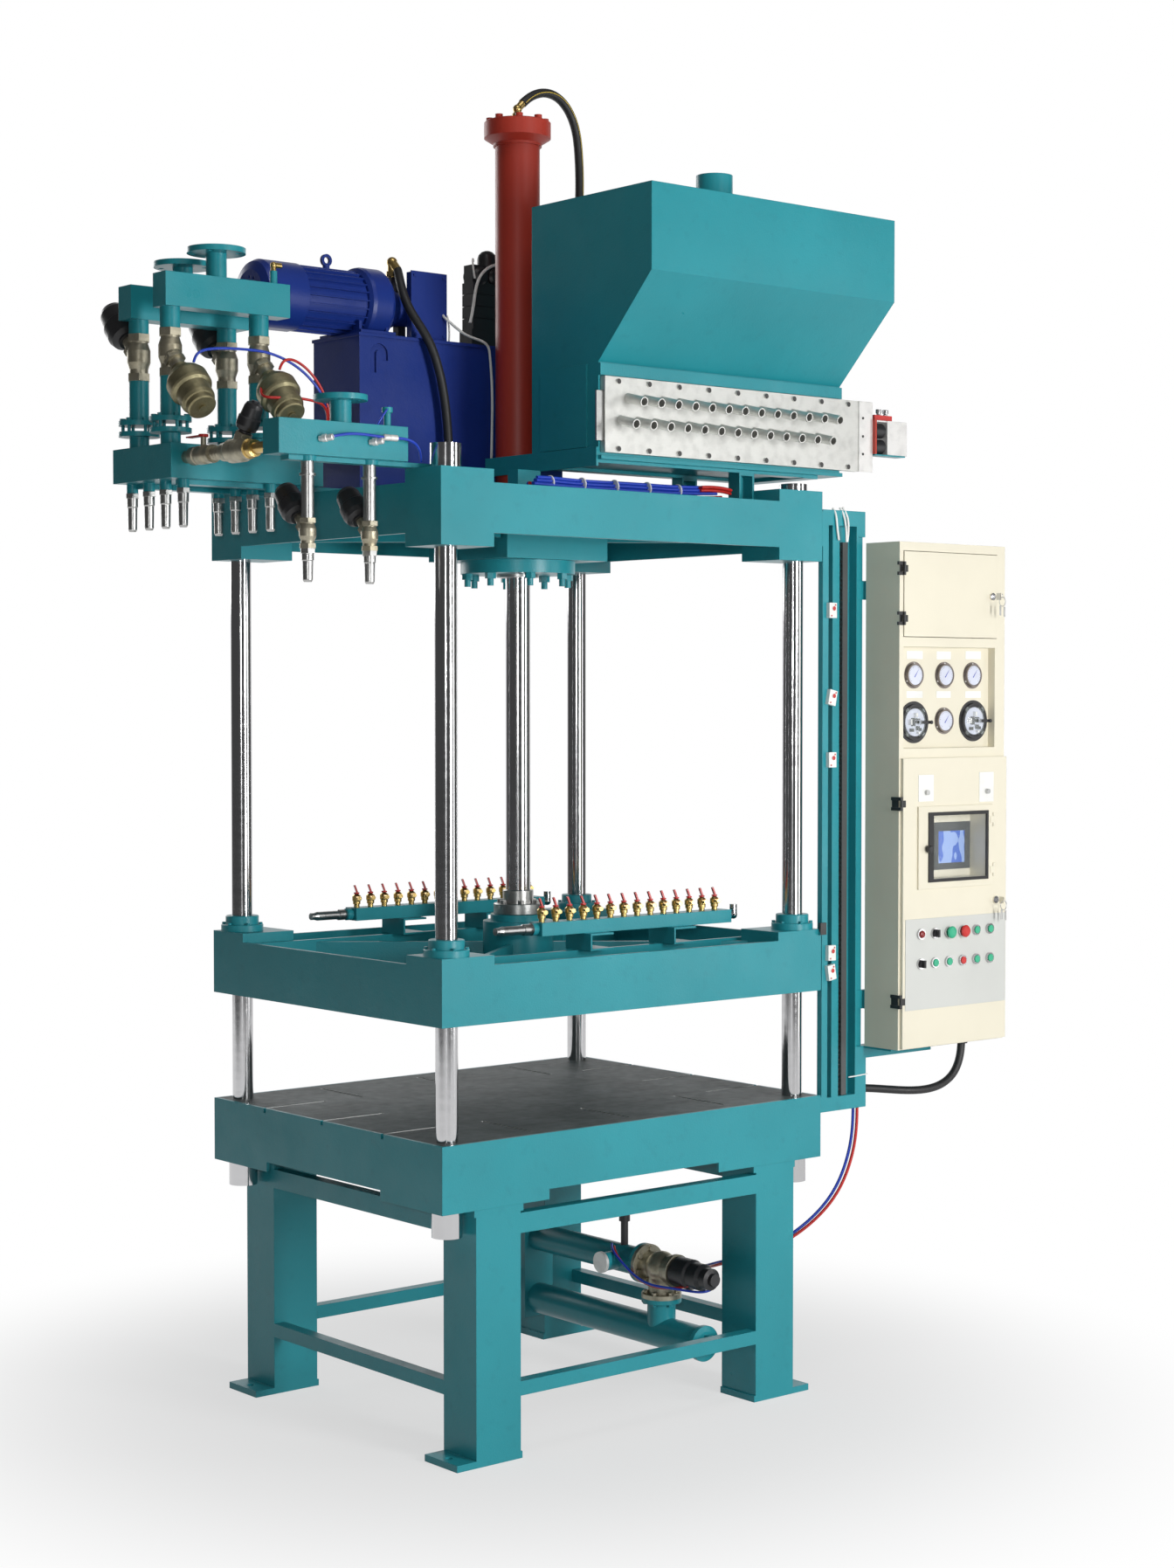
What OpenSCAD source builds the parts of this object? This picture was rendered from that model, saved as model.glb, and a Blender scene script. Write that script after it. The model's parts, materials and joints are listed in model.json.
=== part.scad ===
// Four-column foam shape moulding machine.
// Millimetres. The origin is the centre of the press table's top face: X runs to the right along the
// operator's side, Y to the back and Z up.

/* [Press] */
// Width of the platens along the operator's side
platen_w = 1500; // [1400:10:1600]
// Depth of the platens from front to back
platen_d = 1200; // [1100:10:1300]
// Height of the table top above the floor
table_top = 935; // [850:5:1050]
// Thickness of the table
table_h = 195; // [160:5:220]
// Diameter of the four guide columns
column_d = 65; // [55:5:80]
// Gap between the table and the moving platen
daylight = 335; // [100:5:700]
// Height of the top platen's underside above the table
top_z = 1692; // [1650:2:1800]
// Height of the top platen
top_h = 220; // [180:5:240]

/* [Cylinder] */
// Outer diameter of the barrel
barrel_d = 140; // [130:2:150]
// Bore of the barrel
bore_d = 110; // [100:2:118]
// Diameter of the piston rod
rod_d = 78; // [60:2:90]
// Height of the barrel's top end above the table
barrel_top = 2985; // [2950:5:3100]

/* [Filling] */
// Length of the hopper along the operator's side
hopper_w = 1020; // [960:10:1100]
// Height of the hopper's top above the table
hopper_top = 2765; // [2650:5:2900]
// Number of filling tubes in each row
tubes_per_row = 13; // [8:1:14]
// Distance between filling tubes
tube_pitch = 69; // [60:0.5:71]

/* [Valve bars] */
// Number of ball valves on each bar
valves_per_bar = 14; // [6:1:14]
// Distance between ball valves
valve_pitch = 54; // [50:1:56]

/* [Control cabinet] */
// Width of the cabinet
cabinet_w = 500; // [480:10:560]
// Height of the cabinet's top above the table
cabinet_top = 1757; // [1700:5:1850]

/* [Hidden] */
teal = [0.16, 0.53, 0.56];
blue = [0.12, 0.18, 0.50];
red = [0.45, 0.12, 0.10];
cream = [0.93, 0.90, 0.78];
chrome = [0.80, 0.80, 0.82];
steel = [0.66, 0.67, 0.68];
dark_steel = [0.24, 0.26, 0.27];
brass = [0.72, 0.56, 0.27];
bronze = [0.55, 0.50, 0.33];
black = [0.09, 0.09, 0.10];
grey = [0.55, 0.57, 0.58];
green = [0.20, 0.66, 0.52];
scarlet = [0.80, 0.16, 0.16];

fit = 0.05;            // radial clearance of a fit that runs
eps = 0.5;             // overrun of a cut
face_gap = 0.02;       // between two faces bolted together
hx = platen_w / 2;
hy = platen_d / 2;
floor_z = -table_top;

// Columns
column_inset = 65;
column_x = hx - column_inset;
column_y = hy - column_inset;
column_z0 = -269;
column_z1 = top_z + top_h + 66;
short_column_z1 = top_z + top_h + 25;
column_r = column_d / 2;
nut_r = 44.5;
nut_h = 69;
short_nut_h = 23;
low_nut_h = 77;

// Legs
leg_x0 = hx - 282;
leg_x1 = hx - 120;
leg_d = 155;
leg_wall = 10;
foot_t = 20;
foot_reach = 69;
anchor_r = 11;
anchor_x = leg_x1 + 40;
anchor_y = hy - leg_d / 2;
rail_t = 40;
high_rail = [-280, -221];
low_rail = [floor_z + 182, floor_z + 224];

// Table
table_wall = 10;
table_plate_t = 30;
table_foot_raise = 30;
table_notch_x0 = -361;
table_notch_x1 = 310;
table_notch_y = 300;
slot_w = 12;
slot_depth = 14;
slot_len = 230;
slot_pitch = 310;
slot_pitch_x = 385;
disc_r = 48;
disc_t = 10;

// Moving platen
rim_h = 168;
rim_t = 14;
block_w = 188;
block_d = 170;
block_rise = 27;
rib_t = 16;
boss_r = 111;
boss_top = daylight + 225;
boss_plate_r = 87.5;
boss_plate_t = 21;
bush_flange_r = 66;
bush_flange_t = 21;
bush_r = 52;
bush_h = 27;
rod_flange_t = 34;
rod_collar_h = 42;

// Top platen
top_wall = 14;
deck_t = 12;
deck_z = top_z + 182;
top_skirt = 39;
centre_half = 200;
centre_t = 20;
flange_r = 180;
flange_t = 40;
flange_bolts = 8;
flange_pcd = 324;
gland_r = 66;
gland_drop = 10;
gland_z = top_z + 28;

// Piston at the stored height
piston_z = 2040;
piston_h = 80;

// Oil unit on the top platen
tank_x0 = -525;
tank_x1 = 275;
tank_y0 = 113;
tank_y1 = 361;
tank_top = 2366;
motor_z = 2478;
motor_y = 237;
motor_r = 92;
motor_fins = 24;
stack_x1 = 98;

// Hopper
hopper_x0 = -80;
hopper_x1 = hopper_x0 + hopper_w;
hopper_back = -171;
hopper_low_front = -487;
hopper_high_front = -727;
hopper_z0 = 1975;
hopper_bend = 2265;
hopper_crease = hopper_top - 256;
hopper_t = 5;
inlet_r = 57;
inlet_x = 423;
inlet_y = -450;
inlet_top = hopper_top + 116;

// Filling panel
panel_x0 = hopper_x0 + 8;
panel_x1 = hopper_x1 + 66;
panel_z0 = 1995;
panel_z1 = 2222;
panel_front = hopper_low_front - 22;
panel_plate_t = 5;
gate_t = 7;
gate_z0 = 2029;
gate_z1 = 2178;
tube_r = 14.5;
tube_bore = 11.5;
tube_len = 78;
tube_tilt = 13;
row_z = [2161, 2093];
row_x = [20, -11];
gate_end = panel_x1 + 24;
gate_cyl_x0 = panel_x1 + 66;
gate_cyl_x1 = gate_cyl_x0 + 143;
gate_body_x0 = gate_cyl_x0 + 51;
gate_cyl_r = 24;
gate_rod_r = 8;
gate_cyl_z = [2081, 2133];

// Pipework on the left
pipe_x = [-1227, -928];
pipe_y = [50, 225];
box_z0 = [2378, 2358];
pipe_r = 29;
low_z0 = top_z + 196;
low_z1 = low_z0 + 99;
valve_reach = 72;
drop_reach = 60;
cross_reach = 53;
low_x0 = -1265;
low_x1 = -746;
low_y0 = -14;
low_y1 = 311;
tail_x = [-1210, -915];
tail_y = [11, 107, 200, 295];
drop_x = [-1112, -905];
drop_y = -475;
front_x0 = -1230;
front_x1 = -800;
front_y0 = -514;
front_y1 = -435;
front_z0 = 1925;
front_z1 = 2021;
cross_x = -1213;
cross_z = 1948;

// Drain under the table
drain_x = 350;
header_z = floor_z + 183;
header_r = 50;
upper_z = floor_z + 389;
upper_r = 45;
drain_valve_y = -290;

// Valve bars
bar_z = daylight + 218;
bar_h = 40;
bar_w = 60;
bar_y = 400;
front_bar_x0 = -250;
front_bar_x1 = 520;
rear_bar_x0 = -363;
rear_bar_x1 = 407;
first_valve = 22;

// Rail frame and cabinet
rail_x0 = hx + 3;
rail_x1 = 944;
rail_channel_x = 905;
rail_z0 = -56;
rail_z1 = 1857;
rail_y1 = -hy;
rail_y0 = -hy + 37;
sensor_x = 786;
sensors = [[390, -10], [452, 0], [1066, 0], [1263, 12], [1539, 0]];
cab_x0 = 945;
cab_x1 = cab_x0 + cabinet_w;
cab_y0 = -750;
cab_y1 = -603;
cab_z0 = 141;
cab_t = 4;
door_t = 14;
recess = [964, 1398, 1101, 1425];
high_door = [962, 1406, 1455, 1729];
low_door = [953, 1444, 145, 1070];
low_door_front = -762;
window_x = [1018, 1370];
window_z = [651, 915];
window_t = 6;
pane_x = [1085, 1337];
pane_z = [682, 885];
pocket_x = [1075, 1346];
pocket_z = [677, 890];
pocket_y = -692;
screen_x = [1169, 1339];
screen_z = [704, 858];
panel_sheet_x = [964, 1441];
panel_sheet_z = [266, 557];
panel_sheet_t = 2;
button_y = low_door_front - panel_sheet_t;
button_x0 = 1032;
button_pitch = 65.5;
button_z = [508, 413];
button_stem_r = 8;
gauge_y = -721;

// Door hinges: the pin's X and Y, and its heights
hinge_r = 4.5;
hinge_pin_r = 2.5;
hinge_h = 43;
high_hinge = [high_door[0] - 2, cab_y0 - 8];
high_hinge_z = [1672, 1514];
low_hinge = [low_door[0] - 5, low_door_front + 2];
low_hinge_z = [926, 296];
window_hinge = [window_x[1] + 6, low_door_front - 5];
window_hinge_z = [window_z[0] + 50, window_z[1] - 50];

// Flexible lines: route points, radius
cylinder_route = [
  [20, 0, 3124], [45, 0, 3147], [80, 0, 3165], [120, 2, 3173], [160, 4, 3168], [196, 8, 3150],
  [226, 12, 3121], [248, 16, 3084], [262, 20, 3042], [273, 26, 2980], [281, 32, 2900],
  [283, 40, 2810], [281, 56, 2716], [272, 84, 2630], [256, 118, 2570], [230, 154, 2522],
  [196, 186, 2491], [164, 205, 2475], [132, 213, 2470]
];
pump_route = [
  [-313, 208, 2596], [-320, 190, 2574], [-328, 171, 2545], [-332, 150, 2511], [-330, 131, 2475],
  [-318, 112, 2437], [-300, 94, 2400], [-280, 81, 2358], [-260, 77, 2308], [-243, 75, 2250],
  [-230, 75, 2190], [-221, 75, 2125], [-216, 75, 2060], [-213, 75, 1995], [-213, 75, 1930]
];
hose_r = 14;
conduit_x = 1322;
conduit_route = [
  [1322, -680, 128], [1320, -680, 98], [1309, -680, 62], [1286, -680, 30], [1254, -679, 8],
  [1214, -677, -6], [1170, -673, -12], [1126, -664, -13], [1084, -648, -11], [1046, -627, -7],
  [1014, -608, -4], [988, -593, -1], [964, -579, 0]
];
conduit_r = 13;
tube_route = [
  [938, -578, -58], [938, -578, -100], [935, -576, -160], [922, -568, -230], [900, -556, -300],
  [868, -534, -366], [824, -500, -426], [774, -460, -476], [722, -418, -514], [666, -376, -540],
  [608, -342, -554], [556, -330, -560], [508, -344, -558], [464, -370, -550], [424, -396, -546]
];
tube_offset = [-4, 14, 2];
deck_tubes = [
  [-330, -470, 1892], [-270, -452, 1884], [-200, -440, 1882], [-120, -432, 1882], [-30, -428, 1882],
  [70, -424, 1883], [170, -428, 1882], [270, -436, 1882], [370, -446, 1883], [450, -456, 1888]
];
air_tube_r = 5;

// ---------- Shared shapes ----------

// Box given by its two corners on each axis.
module block(x, y, z) {
  translate([x[0], y[0], z[0]])
    cube([x[1] - x[0], y[1] - y[0], z[1] - z[0]]);
}

module at_corners(x, y) {
  for (sx = [-1, 1], sy = [-1, 1])
    translate([sx * x, sy * y, 0])
      children();
}

// The child is drawn once at +X, +Y and mirrored to the other three corners.
module four_ways() {
  for (i = [0, 1], j = [0, 1])
    mirror([i, 0, 0])
      mirror([0, j, 0])
        children();
}

module along_x() {
  rotate([0, 90, 0])
    children();
}

module along_y() {
  rotate([-90, 0, 0])
    children();
}

module ring(r1, r0, h, fn = 48) {
  difference() {
    cylinder(r = r1, h = h, $fn = fn);
    translate([0, 0, -eps])
      cylinder(r = r0, h = h + 2 * eps, $fn = fn);
  }
}

module on_circle(n, pcd, start = 0) {
  for (i = [0 : n - 1])
    rotate(start + 360 * i / n)
      translate([pcd / 2, 0, 0])
        children();
}

// Hexagon across flats af, standing on z = 0.
module hex(af, h) {
  cylinder(d = af / cos(30), h = h, $fn = 6);
}

// Body turned from a list of [radius, height] points, closed on the axis.
module turned(points, fn = 32) {
  rotate_extrude($fn = fn)
    polygon(concat([[0, points[0][1]]], points, [[0, points[len(points) - 1][1]]]));
}

// Pipe flange with its bolts, the joint face on z = 0.
module flange(r, t, bolts, pcd) {
  cylinder(r = r, h = t, $fn = 40);
  on_circle(bolts, pcd, 22)
    translate([0, 0, t])
      hex(16, 8);
}

// Round tube swept along route points, by one polyhedron.
function unit(v) = v / norm(v);
function tangent(p, i) = unit(p[min(i + 1, len(p) - 1)] - p[max(i - 1, 0)]);
function side(t, up) = unit(cross(up, t));
function tube_rings(p, r, n, up) = [
  for (i = [0 : len(p) - 1], k = [0 : n - 1])
    let (t = tangent(p, i), u = side(t, up), w = cross(t, u))
      p[i] + r * (cos(360 * k / n) * u + sin(360 * k / n) * w)
];
function tube_faces(m, n) = concat(
  [[for (k = [n - 1 : -1 : 0]) k]],
  [for (i = [0 : m - 2], k = [0 : n - 1])
    [i * n + k, i * n + (k + 1) % n, (i + 1) * n + (k + 1) % n, (i + 1) * n + k]],
  [[for (k = [0 : n - 1]) (m - 1) * n + k]]
);
module swept_tube(route, r, n = 8, up = [0, 1, 0.02]) {
  polyhedron(
    points = tube_rings(route, r, n, up),
    faces = [for (f = tube_faces(len(route), n)) [for (k = [len(f) - 1 : -1 : 0]) f[k]]]
  );
}

// ---------- Frame ----------

module leg() {
  difference() {
    block([leg_x0, leg_x1], [hy - leg_d, hy], [floor_z + foot_t, -table_h - foot_t]);
    block([leg_x0 + leg_wall, leg_x1 - leg_wall], [hy - leg_d + leg_wall, hy - leg_wall],
       [floor_z + foot_t - eps, -table_h - foot_t + eps]);
  }
  difference() {
    block([leg_x0 - 6, leg_x1 + foot_reach], [hy - leg_d, hy], [floor_z, floor_z + foot_t]);
    translate([anchor_x, anchor_y, floor_z - eps])
      cylinder(r = anchor_r, h = foot_t + 2 * eps, $fn = 24);
  }
  block([leg_x0 - 10, leg_x1 + 6], [hy - leg_d - 10, hy], [-table_h - foot_t, -table_h]);
}

module leg_rails(z) {
  for (s = [-1, 1]) {
    block([-leg_x0, leg_x0], s > 0 ? [hy - rail_t, hy] : [-hy, rail_t - hy], z);
    block(s > 0 ? [leg_x1 - rail_t, leg_x1] : [-leg_x1, rail_t - leg_x1],
       [leg_d - hy, hy - leg_d], z);
  }
}

module leg_frame() {
  color(teal) {
    four_ways()
      leg();
    leg_rails(high_rail);
    leg_rails(low_rail);
  }
}

module column_holes(z0, z1, r) {
  at_corners(column_x, column_y)
    translate([0, 0, z0 - eps])
      cylinder(r = r, h = z1 - z0 + 2 * eps, $fn = 48);
}

module table_slots() {
  for (s = [-1, 1], i = [-1, 0, 1]) {
    translate([s > 0 ? hx - slot_len + 5 : -hx - 5, i * slot_pitch - slot_w / 2, -slot_depth])
      cube([slot_len, slot_w, slot_depth + eps]);
    translate([i * slot_pitch_x - slot_w / 2, s > 0 ? hy - slot_len - 60 : 60 - hy, -slot_depth])
      cube([slot_w, slot_len, slot_depth + eps]);
  }
}

module table_frame() {
  w = table_wall;
  inner = hx - w;
  color(teal)
    difference() {
      union() {
        difference() {
          block([-hx, hx], [-hy, hy], [-table_h, 0]);
          block([-inner, inner], [w - hy, hy - w], [-table_h - eps, eps]);
          for (s = [-1, 1]) {
            block([table_notch_x0, table_notch_x1],
               s > 0 ? [hy - w - eps, hy + eps] : [-hy - eps, w + eps - hy],
               [-table_h - eps, table_foot_raise - table_h]);
            block(s > 0 ? [inner - eps, hx + eps] : [-hx - eps, eps - inner],
               [-table_notch_y, table_notch_y],
               [-table_h - eps, table_foot_raise - table_h]);
          }
        }
        four_ways()
          block([hx - block_w, inner], [hy - block_d, hy - w], [-table_h, -table_plate_t]);
        for (y = [-200, 0, 200])
          block([-inner, inner], [y - 8, y + 8], [table_foot_raise - table_h, -table_plate_t]);
        for (x = [-360, 0, 360])
          block([x - 8, x + 8], [w - hy, hy - w],
             [table_foot_raise - table_h, -table_plate_t]);
      }
      column_holes(-table_h, 0, column_r + fit);
      table_slots();
      translate([0, 0, -table_h])
        cylinder(r = 30, h = table_h, $fn = 32);
    }
}

module table_plate() {
  inner_x = hx - table_wall;
  inner_y = hy - table_wall;
  color(dark_steel) {
    difference() {
      block([-inner_x, inner_x], [-inner_y, inner_y], [-table_plate_t, 0]);
      column_holes(-table_plate_t, 0, column_r + fit);
      table_slots();
      translate([0, 0, -disc_t])
        cylinder(r = disc_r, h = disc_t + eps, $fn = 48);
      translate([0, 0, -table_plate_t - eps])
        cylinder(r = 30, h = table_plate_t, $fn = 32);
    }
    translate([0, 0, -disc_t])
      cylinder(r = disc_r, h = disc_t, $fn = 48);
  }
}

module column(z1) {
  chamfer = 4;
  turned([
    [column_r - chamfer, column_z0], [column_r, column_z0 + chamfer],
    [column_r, z1 - chamfer], [column_r - chamfer, z1]
  ], 48);
}

// The front right column ends lower, under the hopper.
module columns() {
  color(chrome)
    for (sx = [-1, 1], sy = [-1, 1])
      translate([sx * column_x, sy * column_y, 0])
        column(sx > sy ? short_column_z1 : column_z1);
}

module column_nuts() {
  color(chrome)
    for (sx = [-1, 1], sy = [-1, 1])
      translate([sx * column_x, sy * column_y, 0]) {
        translate([0, 0, top_z + top_h])
          ring(nut_r, column_r + fit, sx > sy ? short_nut_h : nut_h);
        translate([0, 0, -table_h - low_nut_h])
          ring(nut_r, column_r + fit, low_nut_h);
      }
}

// Diagonal webs from the corner blocks to the middle, as used in both platens.
module diagonal_ribs(z0, z1, reach_x, reach_y) {
  length = norm([reach_x, reach_y]);
  angle = atan2(reach_y, reach_x);
  for (a = [angle, 180 - angle, 180 + angle, -angle])
    rotate(a)
      translate([0, -rib_t / 2, z0])
        cube([length, rib_t, z1 - z0]);
}

module top_platen() {
  w = top_wall;
  bx = hx - block_w;
  by = hy - block_d;
  skirt_z = top_z + top_skirt;
  color(teal)
    difference() {
      union() {
        // corner blocks
        four_ways()
          difference() {
            block([bx, hx], [by, hy], [top_z, top_z + top_h]);
            block([bx + w, hx - w], [by + w, hy - w], [top_z + w, top_z + top_h - w]);
          }
        at_corners(column_x, column_y)
          translate([0, 0, top_z + w])
            cylinder(r = nut_r, h = top_h - 2 * w, $fn = 32);
        // skirts and deck
        for (s = [-1, 1]) {
          block([-bx, bx], s > 0 ? [hy - w, hy] : [-hy, w - hy], [skirt_z, deck_z]);
          block(s > 0 ? [hx - w, hx] : [-hx, w - hx], [-by, by], [skirt_z, deck_z]);
        }
        block([-bx, bx], [-hy + w, hy - w], [deck_z - deck_t, deck_z]);
        block([-hx + w, hx - w], [-by, by], [deck_z - deck_t, deck_z]);
        // centre box
        block([-centre_half, centre_half], [-centre_half, centre_half],
           [top_z - 2, top_z - 2 + centre_t]);
        difference() {
          block([-centre_half, centre_half], [-centre_half, centre_half],
             [top_z, deck_z - deck_t]);
          block([w - centre_half, centre_half - w], [w - centre_half, centre_half - w],
             [top_z - eps, deck_z]);
        }
        intersection() {
          diagonal_ribs(skirt_z + 20, deck_z - deck_t, hx, hy);
          difference() {
            block([-hx + w, hx - w], [-hy + w, hy - w], [top_z, deck_z]);
            block([w - centre_half, centre_half - w], [w - centre_half, centre_half - w],
               [top_z - eps, deck_z + eps]);
            four_ways()
              block([bx + 1, hx], [by + 1, hy], [top_z - eps, deck_z + eps]);
          }
        }
      }
      column_holes(top_z, top_z + top_h, column_r + fit);
      translate([0, 0, top_z - 4])
        cylinder(r = barrel_d / 2 + fit, h = top_h + 8, $fn = 64);
      on_circle(flange_bolts, flange_pcd, 20)
        translate([0, 0, top_z - 4])
          cylinder(r = 10 + fit, h = centre_t + 8, $fn = 24);
    }
}

// ---------- Hydraulic cylinder ----------

module cylinder_flange() {
  under = top_z - 2;
  color(teal) {
    difference() {
      translate([0, 0, under - flange_t])
        cylinder(r = flange_r, h = flange_t, $fn = 64);
      translate([0, 0, under - flange_t - eps])
        cylinder(r = bore_d / 2, h = flange_t + 2 * eps, $fn = 64);
      on_circle(flange_bolts, flange_pcd, 20)
        translate([0, 0, under - flange_t - eps])
          cylinder(r = 10 + fit, h = flange_t + 2 * eps, $fn = 24);
    }
    // studs and nuts
    on_circle(flange_bolts, flange_pcd, 20)
      translate([0, 0, under - flange_t - 40]) {
        cylinder(r = 10, h = 40 + flange_t + centre_t, $fn = 24);
        translate([0, 0, 22])
          hex(30, 18);
      }
  }
  // rod gland
  color(steel)
    difference() {
      turned([
        [gland_r, under - flange_t - gland_drop], [gland_r, under - flange_t],
        [bore_d / 2 - fit, under - flange_t], [bore_d / 2 - fit, gland_z]
      ], 64);
      translate([0, 0, under - flange_t - gland_drop - eps])
        cylinder(r = rod_d / 2 + fit, h = 200, $fn = 64);
    }
}

module cylinder_barrel() {
  z0 = top_z - 2;
  color(red)
    difference() {
      translate([0, 0, z0])
        cylinder(r = barrel_d / 2, h = barrel_top - z0, $fn = 64);
      translate([0, 0, z0 - eps])
        cylinder(r = bore_d / 2, h = barrel_top - z0 + 2 * eps, $fn = 64);
    }
}

module cylinder_cap() {
  cap_r = 104.5;
  cap_h = 77;
  color(red) {
    turned([
      [barrel_d / 2 + 6, barrel_top], [barrel_d / 2 + 6, barrel_top + 8],
      [cap_r, barrel_top + 26], [cap_r, barrel_top + cap_h - 3],
      [cap_r - 3, barrel_top + cap_h]
    ], 64);
    translate([0, 0, barrel_top + cap_h])
      cylinder(r = 22, h = 15, $fn = 32);
    on_circle(8, 172, 10)
      translate([0, 0, barrel_top + cap_h - 1])
        difference() {
          cylinder(r = 12, h = 13, $fn = 16);
          translate([0, 0, 6])
            hex(10, 7);
        }
  }
}

module piston_rod() {
  z0 = boss_top + boss_plate_t + 4;
  color(chrome) {
    translate([0, 0, z0])
      cylinder(r = rod_d / 2, h = piston_z - z0, $fn = 64);
    translate([0, 0, piston_z])
      cylinder(r = bore_d / 2 - fit, h = piston_h, $fn = 64);
  }
}

// ---------- Oil unit ----------

module oil_tank() {
  lip = 4;
  hook = [-451, 2315];
  color(blue) {
    difference() {
      block([tank_x0, tank_x1], [tank_y0, tank_y1], [deck_z, tank_top]);
      // pressed hook mark
      translate([hook[0], tank_y0 - eps, hook[1]]) {
        intersection() {
          along_y()
            ring(32, 12, 8, 40);
          block([-40, 40], [-1, 10], [0, 40]);
        }
        block([-32, -12], [0, 8], [-57, eps]);
        block([12, 32], [0, 8], [-18, eps]);
      }
    }
    block([tank_x0 - lip, tank_x1 + lip], [tank_y0 - lip, tank_y1 + lip],
       [tank_top, tank_top + 10]);
    translate([180, motor_y, tank_top + 10])
      turned([[26, 0], [26, 12], [38, 14], [38, 44], [32, 50]]);
  }
}

module motor() {
  x0 = -840;
  fins_x0 = -690;
  bell_x0 = -470;
  flat = motor_z - tank_top - 11;
  color(blue)
    translate([0, motor_y, motor_z]) {
      difference() {
        union() {
          translate([fins_x0 - 4, 0, 0])
            along_x()
              linear_extrude(bell_x0 - fins_x0 + 8)
                union() {
                  circle(r = motor_r, $fn = 48);
                  for (i = [0 : motor_fins / 2 - 1])
                    rotate(i * 360 / motor_fins)
                      square([2 * motor_r + 18, 3.5], center = true);
                }
          // fan cover with its intake holes
          translate([x0, 0, 0])
            along_x()
              difference() {
                turned([[70, 0], [96, 10], [104, 26], [104, fins_x0 - x0]], 48);
                on_circle(12, 96)
                  translate([0, 0, -1])
                    cylinder(r = 5, h = 24, $fn = 16);
                on_circle(8, 56)
                  translate([0, 0, -1])
                    cylinder(r = 5, h = 14, $fn = 16);
              }
          // drive end bell
          translate([bell_x0, 0, 0])
            along_x()
              turned([[100, 0], [112, 8], [115, 20], [115, 80], [108, 92], [90, 104]], 48);
        }
        // clear of the tank's lid
        block([x0, -300], [-130, 130], [-140, -flat]);
      }
      // feet
      for (s = [-1, 1]) {
        block([bell_x0 - 40, bell_x0 + 90], s > 0 ? [52, 112] : [-112, -52], [-102, -90]);
        for (x = [bell_x0 - 30, bell_x0 + 70])
          block([x, x + 10], s > 0 ? [52, 88] : [-88, -52], [-92, -60]);
      }
      // lifting eye
      translate([bell_x0 - 92, 0, motor_r]) {
        cylinder(r = 11, h = 20, $fn = 24);
        translate([0, -5, 34])
          along_y()
            ring(19, 10, 10, 24);
      }
    }
}

module pump() {
  color(blue)
    translate([-366, motor_y, motor_z])
      along_x()
        turned([[34, 0], [34, 23], [60, 23], [60, 42], [54, 46], [54, 98]], 48);
  color(black) {
    translate([-268, motor_y, motor_z])
      along_x()
        turned([[50, 0], [50, 20], [46, 24], [46, 44]], 40);
    block([-330, -294], [motor_y - 18, motor_y + 22], [motor_z + 50, motor_z + 97]);
    // return line stand
    block([-300, -272], [motor_y - 14, motor_y + 14], [tank_top + 10, motor_z - 30]);
  }
}

module electric_box() {
  x0 = -301;
  x1 = -169;
  y0 = 152;
  y1 = 177;
  z0 = tank_top + 10;
  z1 = z0 + 211;
  color(blue) {
    block([x0, x1], [y0, y1], [z0, z1]);
    block([x0 - 3, x1 + 3], [y0 - 4, y0], [z0 + 6, z1 + 3]);
    for (x = [x0 + 10, x1 - 10], z = [z0 + 18, z1 - 10])
      translate([x, y0 - 4, z])
        along_y()
          translate([0, 0, -4])
            cylinder(r = 5, h = 4, $fn = 16);
  }
}

module valve_stack() {
  x = [-42, stack_x1];
  y = [180, 246];
  z0 = tank_top + 10;
  color(black) {
    block(x, y, [z0, z0 + 60]);
    for (i = [0 : 3])
      block([x[0] + 8, x[1] - (i == 2 ? 0 : 8)], [y[0] + 4, y[1] - 4],
         [z0 + 60 + i * 38, z0 + 96 + i * 38]);
    for (i = [0 : 2])
      block([x[0] + 12, x[1] - 12], [y[0] + 8, y[1] - 8], [z0 + 94 + i * 38, z0 + 99 + i * 38]);
    // solenoid coils through the top valve
    for (cx = [x[0] + 40, x[1] - 40])
      translate([cx, y[0] - 4, z0 + 232])
        along_y()
          turned([[20, 0], [28, 8], [28, 66], [20, 74]]);
    block([x[0] + 10, x[1] - 10], [y[0] + 10, y[1] - 10], [z0 + 200, z0 + 266]);
    translate([x[1] - 54, (y[0] + y[1]) / 2, z0 + 264])
      turned([[32, 0], [32, 26], [28, 40], [18, 50], [8, 54]]);
  }
}

module elbow(a, b, c, r) {
  for (p = [[a, b], [b, c]])
    rod_between(p[0], p[1], r);
  translate(b)
    sphere(r = r * 1.2, $fn = 24);
}

// Round bar between two points.
module rod_between(a, b, r, fn = 24) {
  v = b - a;
  translate(a)
    rotate([0, acos(v[2] / norm(v)), atan2(v[1], v[0])])
      cylinder(r = r, h = norm(v), $fn = fn);
}

module brass_fittings() {
  top = barrel_top + 92;
  color(brass) {
    // head end elbow
    translate([0, 0, top])
      hex(32, 12);
    elbow([0, 0, top + 10], [0, 0, top + 27], cylinder_route[0], 12);
    // pump elbow
    elbow([-313, motor_y, motor_z + 97], [-313, motor_y, motor_z + 146], pump_route[0], 14);
    translate([-313, motor_y, motor_z + 100])
      hex(36, 16);
    // bulkhead on the deck
    translate([-213, 75, deck_z]) {
      hex(46, 18);
      cylinder(r = 17, h = 56, $fn = 24);
    }
    // port of the valve stack
    translate([stack_x1, 213, 2470])
      along_x() {
        cylinder(r = 16, h = 34, $fn = 24);
        hex(34, 16);
      }
    // elbow on the front upper box
    elbow([-876, 50, 2516], [-876, 50, 2534], [-850, 50, 2534], 8);
  }
}

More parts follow.
